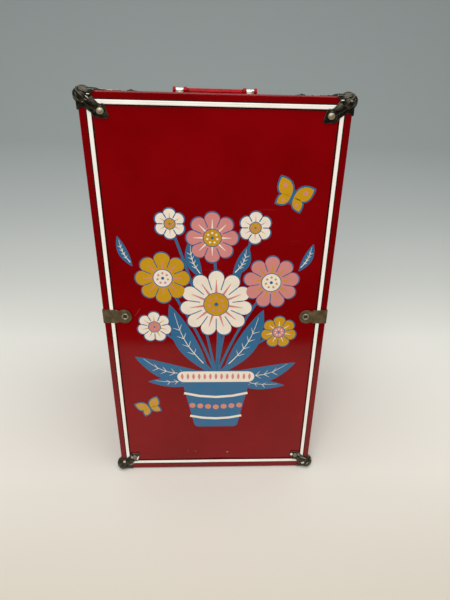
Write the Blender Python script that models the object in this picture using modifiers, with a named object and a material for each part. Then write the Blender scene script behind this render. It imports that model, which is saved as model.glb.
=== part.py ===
"""A doll's wardrobe trunk: two hinged halves of lacquered board, bound and capped in metal, with a hanging
rail and two drawers inside the back half.

Lengths are in metres. X runs to the right, Y to the back and Z up. The closed trunk stands on its four
bottom corner caps, with its pictured face towards -Y and the origin on the floor under its middle.
"""

import math

import bmesh
import bpy
from mathutils import Matrix, Vector

# Driving dimensions of the closed trunk, over its edge bindings
trunk_width = 0.225
trunk_depth = 0.220
trunk_height = 0.410

# Clearance between neighbouring pieces, and how far a cutting tool runs past what it cuts
gap = 0.0003
overrun = 0.001

# Board and lining
board_thickness = 0.0024
lining_thickness = 0.0007

# Edge binding: an angle of sheet steel over each edge of a face
binding_thickness = 0.0008
binding_leg = 0.0104
binding_round = 0.0006

# Rim: an angle of sheet steel round the open edge of each half
rim_thickness = 0.0005
rim_leg = 0.006
rim_clip_length = 0.0125
rim_clip_thickness = 0.0012

# Inner lip that closes the joint between the halves
lip_thickness = 0.0008
lip_clearance = 0.0006
lip_in_front = 0.005
lip_in_back = 0.008

# Corner cap: a ball on the corner with a riveted tab on each face. Long use has pushed the bottom balls
# up a little and worn a flat on each. The shares are of the leg or the reach, and of the leg's width.
cap_thickness = 0.0007
cap_ball_radius = 0.0075
cap_ball_inset = 0.0032
cap_leg = 0.0135
cap_leg_width = 0.0022
cap_leg_shares = ((0.80, 1.0), (0.88, 2.7), (1.13, 4.0), (1.35, 4.3))
cap_tab_reach = 0.0222
cap_tab_shares = ((0.883, 4.0), (0.937, 5.2))
cap_end_shares = (0.833, 0.937)
cap_rivet_place = 0.0157
foot_ball_lift = 0.0012
foot_flat_depth = 0.0005

# Domed rivets
rivet_radius = 0.0033
rivet_height = 0.0014
small_rivet_radius = 0.0016
small_rivet_height = 0.0008

# Clamp: an angle with a round riveted end on each of its two faces, half way up each edge
clamp_thickness = 0.0006
clamp_height = 0.015
clamp_plate_length = 0.0132
clamp_neck_place = 0.0155
clamp_neck_height = 0.0118
clamp_end_radius = 0.0076
clamp_end_place = 0.0203
clamp_eyelet_radius = 0.0033
clamp_eyelet_height = 0.0009
clamp_eyelet_bore = 0.0015
clamp_eyelet_top_share = 0.8

# How far a knuckle's barrel stands off its leaf, as a share of the leaf's thickness
knuckle_stand_share = 0.125

# Hinges on the left side
hinge_height = 0.034
hinge_inset = 0.095
hinge_reach = 0.024
hinge_rivet_reach_share = 0.68
hinge_thickness = 0.0008
hinge_knuckle_radius = 0.0024
hinge_knuckle_height = 0.011
hinge_pin_radius = 0.0011
hinge_pin_head_height = 0.0012
hinge_pin_head_share = 0.9
hinge_pin_head_end_share = 0.7
hinge_rivet_spread = 0.011

# Hasp and turning stud on the right side
hasp_height = 0.020
hasp_tongue_share = 0.42
hasp_rivet_reach_share = 0.33
hasp_rivet_spread_share = 0.6
hasp_thickness = 0.0008
hasp_reach = 0.032
hasp_knuckle_radius = 0.0019
hasp_knuckle_height = 0.0075
hasp_root_shares = (0.6, 1.4)
hasp_pin_radius = 0.0009
hasp_pin_length_share = 0.9
hasp_lift_degrees = 11.0
hasp_slot_height = 0.0102
hasp_slot_width = 0.0052
stud_place = 0.016
stud_neck_radius = 0.0014
stud_head_height = 0.009
stud_head_width = 0.004
stud_head_thickness = 0.002
latch_plate_height = 0.028
latch_plate_reach = 0.0265
latch_plate_thickness = 0.0008
latch_rivet_spread_share = 0.8

# Carrying handle and its two saddles, which sit a little left of the middle
handle_shift = 0.0022
handle_length = 0.0906
handle_knob_length = 0.003
handle_knob_radius = 0.0036
handle_neck_radius = 0.0016
handle_axis_height = 0.0029
handle_axis_setback = 0.019
handle_reach = 0.028
handle_arm_width = 0.0034
handle_grip_depth = 0.012
handle_grip_top = 0.0053
handle_grip_round = 0.0028
saddle_width = 0.0081
saddle_thickness = 0.0008
saddle_foot = 0.007
saddle_rivet_share = 0.55

# Hanging rail and its sockets
rail_radius = 0.003
rail_drop = 0.032
socket_radius = 0.0065
socket_flange_radius = 0.009
socket_flange_thickness = 0.0012
socket_depth = 0.006

# Hangers
hanger_count = 3
hanger_pitch = 0.045
hanger_thickness = 0.0024
hanger_span = 0.084
hanger_wire = 0.0022
hanger_hook_open_degrees = 35
hanger_neck = 0.0125
hanger_neck_drop_share = 0.2
hanger_neck_bend_shares = (0.32, 1 / 3)
hanger_fall = 0.0165
hanger_bow = 0.005

# Hanger's shoulder: shares of half the span, of the fall and of the bow at each point
hanger_crown_shares = (0.2, 0.12, 0.0)
hanger_upper_shares = (0.95, 1.0, 0.6)
hanger_tip_shares = (1.0, 1.0, 0.0)
hanger_under_shares = (0.93, 1.0, -0.5)
hanger_belly_shares = (0.25, 0.0, -1.3)

# Drawer case and drawers
case_thickness = 0.002
drawer_count = 2
drawer_height = 0.044
drawer_clearance = 0.0005
drawer_thickness = 0.0016
drawer_setback = 0.009
knob_radius = 0.0048
knob_length = 0.008
knob_stem_radius = 0.0024
knob_face_share = 0.6
knob_rim_shares = (0.6, 0.75)
knob_stem_end_share = 0.35
knob_foot_share = 1.3

# Facets: sides of bars, balls and turned pieces, rings of balls, and steps of arcs
bar_sides = 16
ball_sides, ball_rings = 16, 8
rivet_sides, rivet_rings = 12, 6
small_rivet_sides, small_rivet_rings = 10, 6
turned_sides = 16
pin_sides = 12
bevel_steps = 2
corner_steps = 3
arc_steps = 12
wide_arc_steps = 14
knob_steps = 10
slot_steps = 8
smooth_degrees = 35

# Colours, as linear red, green and blue, with roughness and metallic
red_lacquer = ((0.20, 0.002, 0.002), 0.18, 0.0)
red_moulding = ((0.50, 0.005, 0.008), 0.30, 0.0)
cream_paper = ((0.72, 0.66, 0.52), 0.85, 0.0)
dark_bronze = ((0.035, 0.032, 0.026), 0.42, 1.0)
old_brass = ((0.12, 0.10, 0.055), 0.40, 1.0)
nickel = ((0.62, 0.58, 0.50), 0.25, 1.0)
white_moulding = ((0.80, 0.78, 0.70), 0.35, 0.0)
printed_board = ((0.62, 0.55, 0.42), 0.60, 0.0)

# Planes and half sizes that follow from the sizes above
half_width = trunk_width / 2
half_depth = trunk_depth / 2
cap_proud = cap_ball_radius - cap_ball_inset
bottom_plane = cap_proud - foot_ball_lift - foot_flat_depth
top_plane = bottom_plane + trunk_height
middle_height = (bottom_plane + top_plane) / 2
board_drop = binding_thickness + gap
board_inner_drop = board_drop + board_thickness
lining_drop = board_inner_drop + gap + lining_thickness
seam_gap = gap
rim_end = seam_gap + rim_thickness
board_end = rim_end + gap
rim_proud_drop = board_drop - gap - rim_thickness
cell_height = drawer_height + 2 * drawer_clearance
case_height = (drawer_count + 1) * case_thickness + drawer_count * cell_height
lining_floor = bottom_plane + lining_drop
lining_ceiling = top_plane - lining_drop
rail_height = lining_ceiling - rail_drop
rail_setback = (seam_gap + half_depth - lining_drop) / 2
hinge_low = half_width - board_drop + gap
hinge_high = half_width - rim_proud_drop + gap
hinge_axis_out = hinge_high + hinge_knuckle_radius + hinge_thickness * knuckle_stand_share
hasp_axis_setback = rim_end + rim_leg + gap + hasp_knuckle_radius
hasp_axis_out = hinge_low + hasp_knuckle_radius + hasp_thickness * knuckle_stand_share
hasp_level = half_width + gap
hinge_heights = {"upper": top_plane - hinge_inset, "lower": bottom_plane + hinge_inset}

collection = bpy.data.collections.new("doll_wardrobe_trunk")
workshop = bpy.data.collections.new("workshop")


def clear_scene():
    """Empties the scene, and hides the collection that holds a tool while it is in use."""
    for old in list(bpy.data.objects):
        bpy.data.objects.remove(old)
    bpy.context.scene.collection.children.link(collection)
    bpy.context.scene.collection.children.link(workshop)
    workshop.hide_render = True


def coated(name, finish):
    """A Principled BSDF material from a colour, a roughness and a metallic value."""
    colour, roughness, metallic = finish
    material = bpy.data.materials.new(name)
    material.use_nodes = True
    shader = material.node_tree.nodes["Principled BSDF"]
    shader.inputs["Base Color"].default_value = (*colour, 1)
    shader.inputs["Roughness"].default_value = roughness
    shader.inputs["Metallic"].default_value = metallic
    return material


def place(name, mesh, finish, pivot=(0, 0, 0)):
    """Puts a mesh that is built in trunk coordinates into the model, with its origin at its pivot."""
    mesh.transform(Matrix.Translation(-Vector(pivot)))
    mesh.materials.clear()
    mesh.materials.append(coated(name, finish))
    mesh.shade_smooth()
    mesh.set_sharp_from_angle(angle=math.radians(smooth_degrees))
    obj = bpy.data.objects.new(name, mesh)
    obj.location = pivot
    collection.objects.link(obj)
    return obj


def mesh_of(shape):
    """The closed mesh of a bmesh, with its faces pointing out."""
    mesh = bpy.data.meshes.new("shape")
    bmesh.ops.recalc_face_normals(shape, faces=shape.faces)
    if shape.calc_volume(signed=True) < 0:
        bmesh.ops.reverse_faces(shape, faces=shape.faces)
    shape.to_mesh(mesh)
    shape.free()
    return mesh


def block(low, high, rounding=0.0):
    """A box between two corners, with its edges rounded if asked."""
    low, high = Vector(low), Vector(high)
    shape = bmesh.new()
    bmesh.ops.create_cube(shape, size=1)
    bmesh.ops.scale(shape, vec=high - low, verts=shape.verts)
    bmesh.ops.translate(shape, vec=(low + high) / 2, verts=shape.verts)
    if rounding:
        bmesh.ops.bevel(
            shape, geom=shape.edges[:], offset=rounding, segments=bevel_steps, profile=0.5, affect="EDGES"
        )
    return mesh_of(shape)


def pillar(start, end, radius, sides=bar_sides):
    """A round bar from one point to another."""
    start, end = Vector(start), Vector(end)
    shape = bmesh.new()
    bmesh.ops.create_cone(
        shape, cap_ends=True, segments=sides, radius1=radius, radius2=radius, depth=(end - start).length
    )
    turn = (end - start).to_track_quat("Z", "Y").to_matrix().to_4x4()
    shape.transform(Matrix.Translation((start + end) / 2) @ turn)
    return mesh_of(shape)


def ball(centre, radii, sides=ball_sides, rings=ball_rings):
    """A ball, or an ellipsoid where its three radii differ."""
    shape = bmesh.new()
    bmesh.ops.create_uvsphere(shape, u_segments=sides, v_segments=rings, radius=1)
    bmesh.ops.scale(shape, vec=radii, verts=shape.verts)
    bmesh.ops.translate(shape, vec=centre, verts=shape.verts)
    return mesh_of(shape)


def plate(outlines, low, high, turn=Matrix.Identity(4)):
    """A flat sheet cut to closed outlines, lying between two levels of its own third axis, then turned."""
    curve = bpy.data.curves.new("outline", "CURVE")
    curve.dimensions = "2D"
    curve.fill_mode = "BOTH"
    curve.extrude = (high - low) / 2
    for outline in outlines:
        spline = curve.splines.new("POLY")
        spline.points.add(len(outline) - 1)
        for point, (u, v) in zip(spline.points, outline):
            point.co = (u, v, 0, 1)
        spline.use_cyclic_u = True
    drawn = bpy.data.objects.new("outline", curve)
    workshop.objects.link(drawn)
    graph = bpy.context.evaluated_depsgraph_get()
    mesh = bpy.data.meshes.new_from_object(drawn.evaluated_get(graph))
    bpy.data.objects.remove(drawn)
    shape = bmesh.new()
    shape.from_mesh(mesh)
    bmesh.ops.remove_doubles(shape, verts=shape.verts, dist=gap / 1000)
    shape.transform(turn @ Matrix.Translation((0, 0, (low + high) / 2)))
    bpy.data.meshes.remove(mesh)
    return mesh_of(shape)


def turned(profile, start, direction, sides=turned_sides):
    """A solid turned about the line from start: its profile gives (radius, distance) from end to end."""
    line = bpy.data.meshes.new("profile")
    points = [(radius, 0, along) for radius, along in profile]
    line.from_pydata(points, [(i, i + 1) for i in range(len(points) - 1)], [])
    drawn = bpy.data.objects.new("profile", line)
    screw = drawn.modifiers.new("turn", "SCREW")
    screw.steps = screw.render_steps = sides
    screw.use_merge_vertices = True
    screw.merge_threshold = gap / 10
    workshop.objects.link(drawn)
    graph = bpy.context.evaluated_depsgraph_get()
    mesh = bpy.data.meshes.new_from_object(drawn.evaluated_get(graph))
    bpy.data.objects.remove(drawn)
    shape = bmesh.new()
    shape.from_mesh(mesh)
    turn = Vector(direction).to_track_quat("Z", "Y").to_matrix().to_4x4()
    shape.transform(Matrix.Translation(start) @ turn)
    bpy.data.meshes.remove(mesh)
    return mesh_of(shape)


def combined(base, joined=(), cut=()):
    """One mesh: the base with some meshes joined to it and others cut from it."""
    body = bpy.data.objects.new("body", base)
    workshop.objects.link(body)
    tools = []
    for operation, meshes in (("UNION", joined), ("DIFFERENCE", cut)):
        for mesh in meshes:
            tool = bpy.data.objects.new("tool", mesh)
            tool.display_type = "WIRE"
            workshop.objects.link(tool)
            tools.append(tool)
            boolean = body.modifiers.new(operation.lower(), "BOOLEAN")
            boolean.operation = operation
            boolean.object = tool
    graph = bpy.context.evaluated_depsgraph_get()
    mesh = bpy.data.meshes.new_from_object(body.evaluated_get(graph))
    for tool in (body, *tools):
        bpy.data.objects.remove(tool)
    return mesh


def moved(mesh, matrix):
    """A copy of a mesh under a matrix, with its faces still pointing out if the matrix mirrors it."""
    shape = bmesh.new()
    shape.from_mesh(mesh)
    shape.transform(matrix)
    if matrix.determinant() < 0:
        bmesh.ops.reverse_faces(shape, faces=shape.faces)
    copy = bpy.data.meshes.new("copy")
    shape.to_mesh(copy)
    shape.free()
    return copy


def arc(centre, radius, start, end, steps):
    """Points along an arc, in degrees."""
    angles = [math.radians(start + (end - start) * i / steps) for i in range(steps + 1)]
    return [(centre[0] + radius * math.cos(a), centre[1] + radius * math.sin(a)) for a in angles]


def angle_section(leg, thickness):
    """The outline of an angle whose outer corner is at zero."""
    return [(0, 0), (leg, 0), (leg, thickness), (thickness, thickness), (thickness, leg), (0, leg)]


def frame_of(right, up, out, corner):
    """The matrix that carries an outline's axes onto three directions of the trunk."""
    matrix = Matrix.Identity(4)
    for column, axis in enumerate((right, up, out)):
        for row in range(3):
            matrix[row][column] = axis[row]
    matrix.translation = Vector(corner)
    return matrix


def build_boards(half, side):
    """The boards, edge bindings, rim and lining of one half; side is -1 in front, 1 behind."""
    face = side * half_depth
    board_half = half_width - board_drop
    low, high = bottom_plane + board_drop, top_plane - board_drop

    def between(near, far):
        return sorted((side * near, side * far))

    face_near, face_far = between(half_depth - board_inner_drop, half_depth - board_drop)
    panel = block((-board_half, face_near, low), (board_half, face_far, high))
    place(half + "_panel", panel, red_lacquer)
    wall_near, wall_far = between(board_end, half_depth - board_inner_drop - gap)
    for name, floor in (("top", high - board_thickness), ("bottom", low)):
        board = block((-board_half, wall_near, floor), (board_half, wall_far, floor + board_thickness))
        place(f"{half}_board_{name}", board, red_lacquer)
    for name, sign in (("left", -1), ("right", 1)):
        inner, outer = sorted((sign * (board_half - board_thickness), sign * board_half))
        board = block(
            (inner, wall_near, low + board_thickness + gap),
            (outer, wall_far, high - board_thickness - gap),
        )
        place(f"{half}_board_{name}", board, red_lacquer)

    build_bindings(half, side, face)

    rim_half = half_width - rim_proud_drop
    rim_low, rim_high = bottom_plane + rim_proud_drop, top_plane - rim_proud_drop
    lining_half = half_width - lining_drop
    rim_near, rim_far = between(seam_gap, rim_end + rim_leg)
    rim = block((-rim_half, rim_near, rim_low), (rim_half, rim_far, rim_high))
    clips = []
    for x_sign in (-1, 1):
        for z_edge, z_sign in ((rim_low, -1), (rim_high, 1)):
            x_out = x_sign * (rim_half + rim_clip_thickness)
            x_in = x_sign * (rim_half - rim_clip_length)
            z_out = z_edge + z_sign * rim_clip_thickness
            z_in = z_edge - z_sign * rim_clip_length
            clips.append(
                block(
                    (min(x_out, x_in), rim_near, min(z_out, z_in)),
                    (max(x_out, x_in), rim_far, max(z_out, z_in)),
                )
            )
    window_near, window_far = between(-overrun, rim_end + rim_leg + overrun)
    step_near, step_far = between(rim_end, rim_end + rim_leg + overrun)
    window = block(
        (-lining_half, window_near, lining_floor), (lining_half, window_far, lining_ceiling)
    )
    step = block(
        (-board_half - gap, step_near, low - gap), (board_half + gap, step_far, high + gap)
    )
    place(half + "_rim", combined(rim, clips, (window, step)), red_lacquer)

    skin_half = lining_half + lining_thickness
    skin_near, skin_far = between(board_end, half_depth - lining_drop + lining_thickness)
    hollow_near, hollow_far = between(-overrun, half_depth - lining_drop)
    skin = block(
        (-skin_half, skin_near, lining_floor - lining_thickness),
        (skin_half, skin_far, lining_ceiling + lining_thickness),
    )
    hollow = block(
        (-lining_half, hollow_near, lining_floor), (lining_half, hollow_far, lining_ceiling)
    )
    place(half + "_lining", combined(skin, cut=(hollow,)), cream_paper)


def build_bindings(half, side, face):
    """An angle along each of the four edges of a face, the upright ones running the full height."""
    section = angle_section(binding_leg, binding_thickness)
    inward = (0, -side, 0)
    for name, sign in (("left", -1), ("right", 1)):
        corner = (sign * half_width, face, bottom_plane)
        turn = frame_of((-sign, 0, 0), inward, (0, 0, 1), corner)
        place(f"{half}_binding_{name}", rounded_angle(section, 0, trunk_height, turn), red_lacquer)
    level_end = binding_leg + gap
    for name, z, up in (("top", top_plane, -1), ("bottom", bottom_plane, 1)):
        turn = frame_of((0, 0, up), inward, (1, 0, 0), (-half_width, face, z))
        strip = rounded_angle(section, level_end, trunk_width - level_end, turn)
        place(f"{half}_binding_{name}", strip, red_lacquer)


def rounded_angle(section, low, high, turn):
    """An angle strip whose long outer edge is rounded."""
    rounded = arc((binding_round, binding_round), binding_round, 180, 270, corner_steps)
    return plate([rounded + section[1:]], low, high, turn)


def small_rivet(x, y, z, axis):
    """The domed head of a small rivet that points along one of the trunk's axes, 0 to 2."""
    radii = [small_rivet_radius] * 3
    radii[axis] = small_rivet_height
    return ball((x, y, z), radii, small_rivet_sides, small_rivet_rings)


def cap_outline():
    """One tab of the corner cap, from the corner outwards, as (along one edge, along the other)."""
    out = gap + cap_thickness
    one_side = [(-out, -out), (cap_leg, -out), (cap_leg, 0)]
    one_side += [(cap_leg * along, cap_leg_width * across) for along, across in cap_leg_shares]
    one_side += [(cap_tab_reach * along, cap_leg_width * across) for along, across in cap_tab_shares]
    one_side += [(cap_tab_reach, cap_tab_reach * share) for share in cap_end_shares]
    return one_side + [(v, u) for u, v in reversed(one_side[1:])]


def cap_mesh(ball_lift):
    """A corner cap at a corner whose three planes are at zero, with the trunk on the positive side."""
    low = -gap - cap_thickness
    pad_low, pad_end = binding_leg + gap, cap_tab_reach - gap
    pad_mid, pad_high = (cap_tab_reach * share - gap for share in cap_end_shares)
    pad_outline = [
        (pad_low, pad_low),
        (pad_high, pad_low),
        (pad_end, pad_mid),
        (pad_end, pad_high),
        (pad_high, pad_end),
        (pad_mid, pad_end),
        (pad_low, pad_high),
    ]
    tabs, seats = [], []
    x, y, z = (1, 0, 0), (0, 1, 0), (0, 0, 1)
    for axes in ((x, y, z), (y, z, x), (z, x, y)):
        turn = frame_of(*axes, (0, 0, 0))
        tabs.append(plate([cap_outline()], low, overrun, turn))
        seats.append(plate([pad_outline], low + cap_thickness / 2, board_drop - gap, turn))
        place_on_tab = (cap_rivet_place, cap_rivet_place, low)
        head = ball(place_on_tab, (rivet_radius, rivet_radius, rivet_height), rivet_sides, rivet_rings)
        seats.append(moved(head, turn))
    knob = ball((cap_ball_inset, cap_ball_inset + ball_lift, cap_ball_inset), (cap_ball_radius,) * 3)
    trunk_corner = block((-gap,) * 3, (trunk_depth / 2,) * 3)
    return combined(combined(knob, tabs, (trunk_corner,)), seats)


def build_caps(half, side):
    """The four corner caps of one half, the bottom ones worn flat where the trunk stands on them."""
    levels = (("top", top_plane, -1, 0), ("bottom", bottom_plane, 1, foot_ball_lift))
    for level, edge, up, lift in levels:
        cap = cap_mesh(lift)
        for hand, sign in (("left", -1), ("right", 1)):
            corner = (sign * half_width, side * half_depth, edge)
            turn = frame_of((-sign, 0, 0), (0, 0, up), (0, -side, 0), corner)
            mesh = moved(cap, turn)
            if level == "bottom":
                floor = block((-trunk_width, -trunk_depth, -cap_proud), (trunk_width, trunk_depth, 0))
                mesh = combined(mesh, cut=(floor,))
            place(f"{half}_corner_{level}_{hand}", mesh, dark_bronze)


def clamp_mesh():
    """A clamp round an edge whose two planes are at zero; its length along the edge is the third axis."""
    low = -gap - clamp_thickness
    half_height = clamp_height / 2
    neck = clamp_neck_height / 2
    waist = math.degrees(math.asin(neck / clamp_end_radius))
    end = arc((clamp_end_place, 0), clamp_end_radius, waist - 180, 180 - waist, wide_arc_steps)
    outline = [(low, -half_height), (clamp_plate_length, -half_height), (clamp_neck_place, -neck)]
    outline += end[1:-1]
    outline += [(clamp_neck_place, neck), (clamp_plate_length, half_height), (low, half_height)]
    face = plate([outline], low, -gap)
    seat = pillar(
        (clamp_end_place, 0, low + clamp_thickness / 2),
        (clamp_end_place, 0, board_drop - gap),
        clamp_end_radius - clamp_thickness,
    )
    eyelet = turned(
        [
            (0, clamp_eyelet_height / 2),
            (clamp_eyelet_bore, clamp_eyelet_height / 2),
            (clamp_eyelet_bore, clamp_eyelet_height),
            (clamp_eyelet_radius * clamp_eyelet_top_share, clamp_eyelet_height),
            (clamp_eyelet_radius, clamp_eyelet_height / 2),
            (clamp_eyelet_radius, -clamp_thickness / 2),
            (0, -clamp_thickness / 2),
        ],
        (clamp_end_place, 0, low),
        (0, 0, -1),
        pin_sides,
    )
    leaf = combined(face, (seat, eyelet))
    swap = frame_of((0, 0, 1), (0, 1, 0), (1, 0, 0), (0, 0, 0))
    return combined(leaf, (moved(leaf, swap),))


def build_clamps(half, side):
    """The two clamps of one half, left and right."""
    clamp = clamp_mesh()
    for hand, sign in (("left", -1), ("right", 1)):
        corner = (sign * half_width, side * half_depth, middle_height)
        turn = frame_of((-sign, 0, 0), (0, 0, 1), (0, -side, 0), corner)
        place(f"{half}_clamp_{hand}", moved(clamp, turn), old_brass)


def build_lip():
    """The inner lip stands in the back half and reaches into the front half."""
    outer_half = half_width - lining_drop - lip_clearance
    inner_half = outer_half - lip_thickness
    low, high = lining_floor + lip_clearance, lining_ceiling - lip_clearance
    ring = block((-outer_half, -lip_in_front, low), (outer_half, lip_in_back, high))
    window = block(
        (-inner_half, -lip_in_front - overrun, low + lip_thickness),
        (inner_half, lip_in_back + overrun, high - lip_thickness),
    )
    place("inner_lip", combined(ring, cut=(window,)), nickel)


def hinge_leaf(side, knuckles, notches):
    """A joggled leaf with its knuckles, on the left side; heights are measured from the hinge's middle."""
    rise = rim_end + rim_leg + gap
    low, high, thick = hinge_low, hinge_high, hinge_thickness
    half = hinge_height / 2
    profile = [
        (low, hinge_reach),
        (low, rise + thick),
        (high, rise),
        (high, seam_gap),
        (high + thick, seam_gap),
        (high + thick, rise + thick / 2),
        (low + thick, rise + 3 * thick / 2),
        (low + thick, hinge_reach),
    ]
    leaf = plate([profile], -half, half)
    axis = (hinge_axis_out, 0)
    wide = hinge_knuckle_radius + gap
    barrels = [pillar((*axis, z0), (*axis, z1), hinge_knuckle_radius) for z0, z1 in knuckles]
    bore = pillar((*axis, -hinge_height), (*axis, hinge_height), hinge_pin_radius + gap)
    clear = [
        block((high - overrun, -wide, z0 - gap), (hinge_axis_out + wide, wide, z1 + gap))
        for z0, z1 in notches
    ]
    rivets = [
        small_rivet(low + thick, hinge_reach * hinge_rivet_reach_share, z, 0)
        for z in (-hinge_rivet_spread, hinge_rivet_spread)
    ]
    leaf = combined(combined(leaf, cut=clear), barrels + rivets, (bore,))
    return moved(leaf, frame_of((-1, 0, 0), (0, side, 0), (0, 0, 1), (0, 0, 0)))


def build_hinges():
    """Two hinges on the left side: a leaf on each half, and a headed pin that stays in the back leaf."""
    half = hinge_height / 2
    middle = hinge_knuckle_height / 2
    outer = [(-half, -middle - gap), (middle + gap, half)]
    inner = [(-middle, middle)]
    back = hinge_leaf(1, outer, inner)
    front = hinge_leaf(-1, inner, outer)
    head = hinge_knuckle_radius * hinge_pin_head_share
    head_end = head * hinge_pin_head_end_share
    half_pin = half + gap + hinge_pin_head_height
    pin_profile = [
        (0, half_pin),
        (head_end, half_pin),
        (head, half + gap),
        (hinge_pin_radius, half + gap),
        (hinge_pin_radius, -half - gap),
        (head, -half - gap),
        (head_end, -half_pin),
        (0, -half_pin),
    ]
    for name, z in hinge_heights.items():
        lift = Matrix.Translation((0, 0, z))
        pivot = (-hinge_axis_out, 0, z)
        place(f"hinge_{name}_back_leaf", moved(back, lift), nickel)
        place(f"hinge_{name}_front_leaf", moved(front, lift), nickel, pivot)
        place(f"hinge_{name}_pin", turned(pin_profile, pivot, (0, 0, 1), pin_sides), nickel)


def build_latch():
    """Hasp plate and hasp on the front half, latch plate and turning stud on the back half."""
    axis = (hasp_axis_out, -hasp_axis_setback, middle_height)
    half = hasp_height / 2
    middle = hasp_knuckle_height / 2
    reach = hasp_axis_setback + hasp_knuckle_radius + latch_plate_reach / 2
    low = middle_height - half
    high = middle_height + half

    def barrel(z0, z1, radius):
        return pillar((*axis[:2], middle_height + z0), (*axis[:2], middle_height + z1), radius)

    base = block((hinge_low, -reach, low), (hinge_low + hasp_thickness, axis[1], high))
    clear = block(
        (hinge_low - overrun, axis[1] - hasp_knuckle_radius - gap, middle_height - middle - gap),
        (hinge_low + hasp_thickness + overrun, axis[1] + overrun, middle_height + middle + gap),
    )
    rivet_place = axis[1] - latch_plate_reach * hasp_rivet_reach_share
    spread = half * hasp_rivet_spread_share
    rivets = [
        small_rivet(hinge_low + hasp_thickness, rivet_place, middle_height + sign * spread, 0)
        for sign in (-1, 1)
    ]
    outer = [
        barrel(-half, -middle - gap, hasp_knuckle_radius),
        barrel(middle + gap, half, hasp_knuckle_radius),
    ]
    half_pin = half * hasp_pin_length_share
    pin = barrel(-half_pin, half_pin, hasp_pin_radius)
    hasp_plate = combined(combined(base, cut=(clear,)), outer + rivets + [pin])
    place("hasp_plate", hasp_plate, nickel)

    tip = hasp_reach - hasp_axis_setback
    wide = hasp_height * hasp_tongue_share
    shoulder = axis[1] + 2 * hasp_knuckle_radius
    outline = [(axis[1], -middle), (shoulder, -middle), (0, -wide), (tip - wide, -wide)]
    outline += arc((tip - wide, 0), wide, -90, 90, arc_steps)[1:-1]
    outline += [(tip - wide, wide), (0, wide), (shoulder, middle), (axis[1], middle)]
    slot = slot_outline(stud_place, hasp_slot_width, hasp_slot_height)
    turn = frame_of((0, 1, 0), (0, 0, 1), (1, 0, 0), (0, 0, middle_height))
    tongue = plate([outline, slot], hasp_level, hasp_level + hasp_thickness, turn)
    root_in, root_along = (hasp_knuckle_radius * share for share in hasp_root_shares)
    root = block(
        (axis[0] - root_in, axis[1], middle_height - middle),
        (hasp_level + hasp_thickness, axis[1] + root_along, middle_height + middle),
    )
    bore = barrel(-half, half, hasp_pin_radius + gap)
    hasp = combined(tongue, (root, barrel(-middle, middle, hasp_knuckle_radius)), (bore,))
    spin = Matrix.Rotation(math.radians(-hasp_lift_degrees), 4, "Z")
    about = Matrix.Translation(axis) @ spin @ Matrix.Translation(-Vector(axis))
    place("hasp", moved(hasp, about), nickel, axis)

    plate_start = rim_end + rim_leg + gap
    half_plate = latch_plate_height / 2
    latch = block(
        (hinge_low, plate_start, middle_height - half_plate),
        (hinge_low + latch_plate_thickness, latch_plate_reach, middle_height + half_plate),
    )
    stud_bore = pillar(
        (hinge_low - overrun, stud_place, middle_height),
        (hinge_low + overrun + latch_plate_thickness, stud_place, middle_height),
        stud_neck_radius + gap,
    )
    spread = half_plate * latch_rivet_spread_share
    rivets = [
        small_rivet(hinge_low + latch_plate_thickness, stud_place, middle_height + sign * spread, 0)
        for sign in (-1, 1)
    ]
    place("latch_plate", combined(latch, rivets, (stud_bore,)), nickel)

    head_low = hasp_level + hasp_thickness + gap
    head = plate(
        [slot_outline(stud_place, stud_head_width, stud_head_height)],
        head_low,
        head_low + stud_head_thickness,
        turn,
    )
    neck = pillar(
        (hinge_low, stud_place, middle_height),
        (head_low + stud_head_thickness / 2, stud_place, middle_height),
        stud_neck_radius,
    )
    pivot = (hinge_low, stud_place, middle_height)
    place("turning_stud", combined(head, (neck,)), nickel, pivot)


def slot_outline(place_along, width, height):
    """A slot with round ends, as high as it says, centred at a place along the outline's first axis."""
    radius = width / 2
    straight = height / 2 - radius
    top = arc((place_along, straight), radius, 0, 180, slot_steps)
    return top + arc((place_along, -straight), radius, 180, 360, slot_steps)


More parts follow.
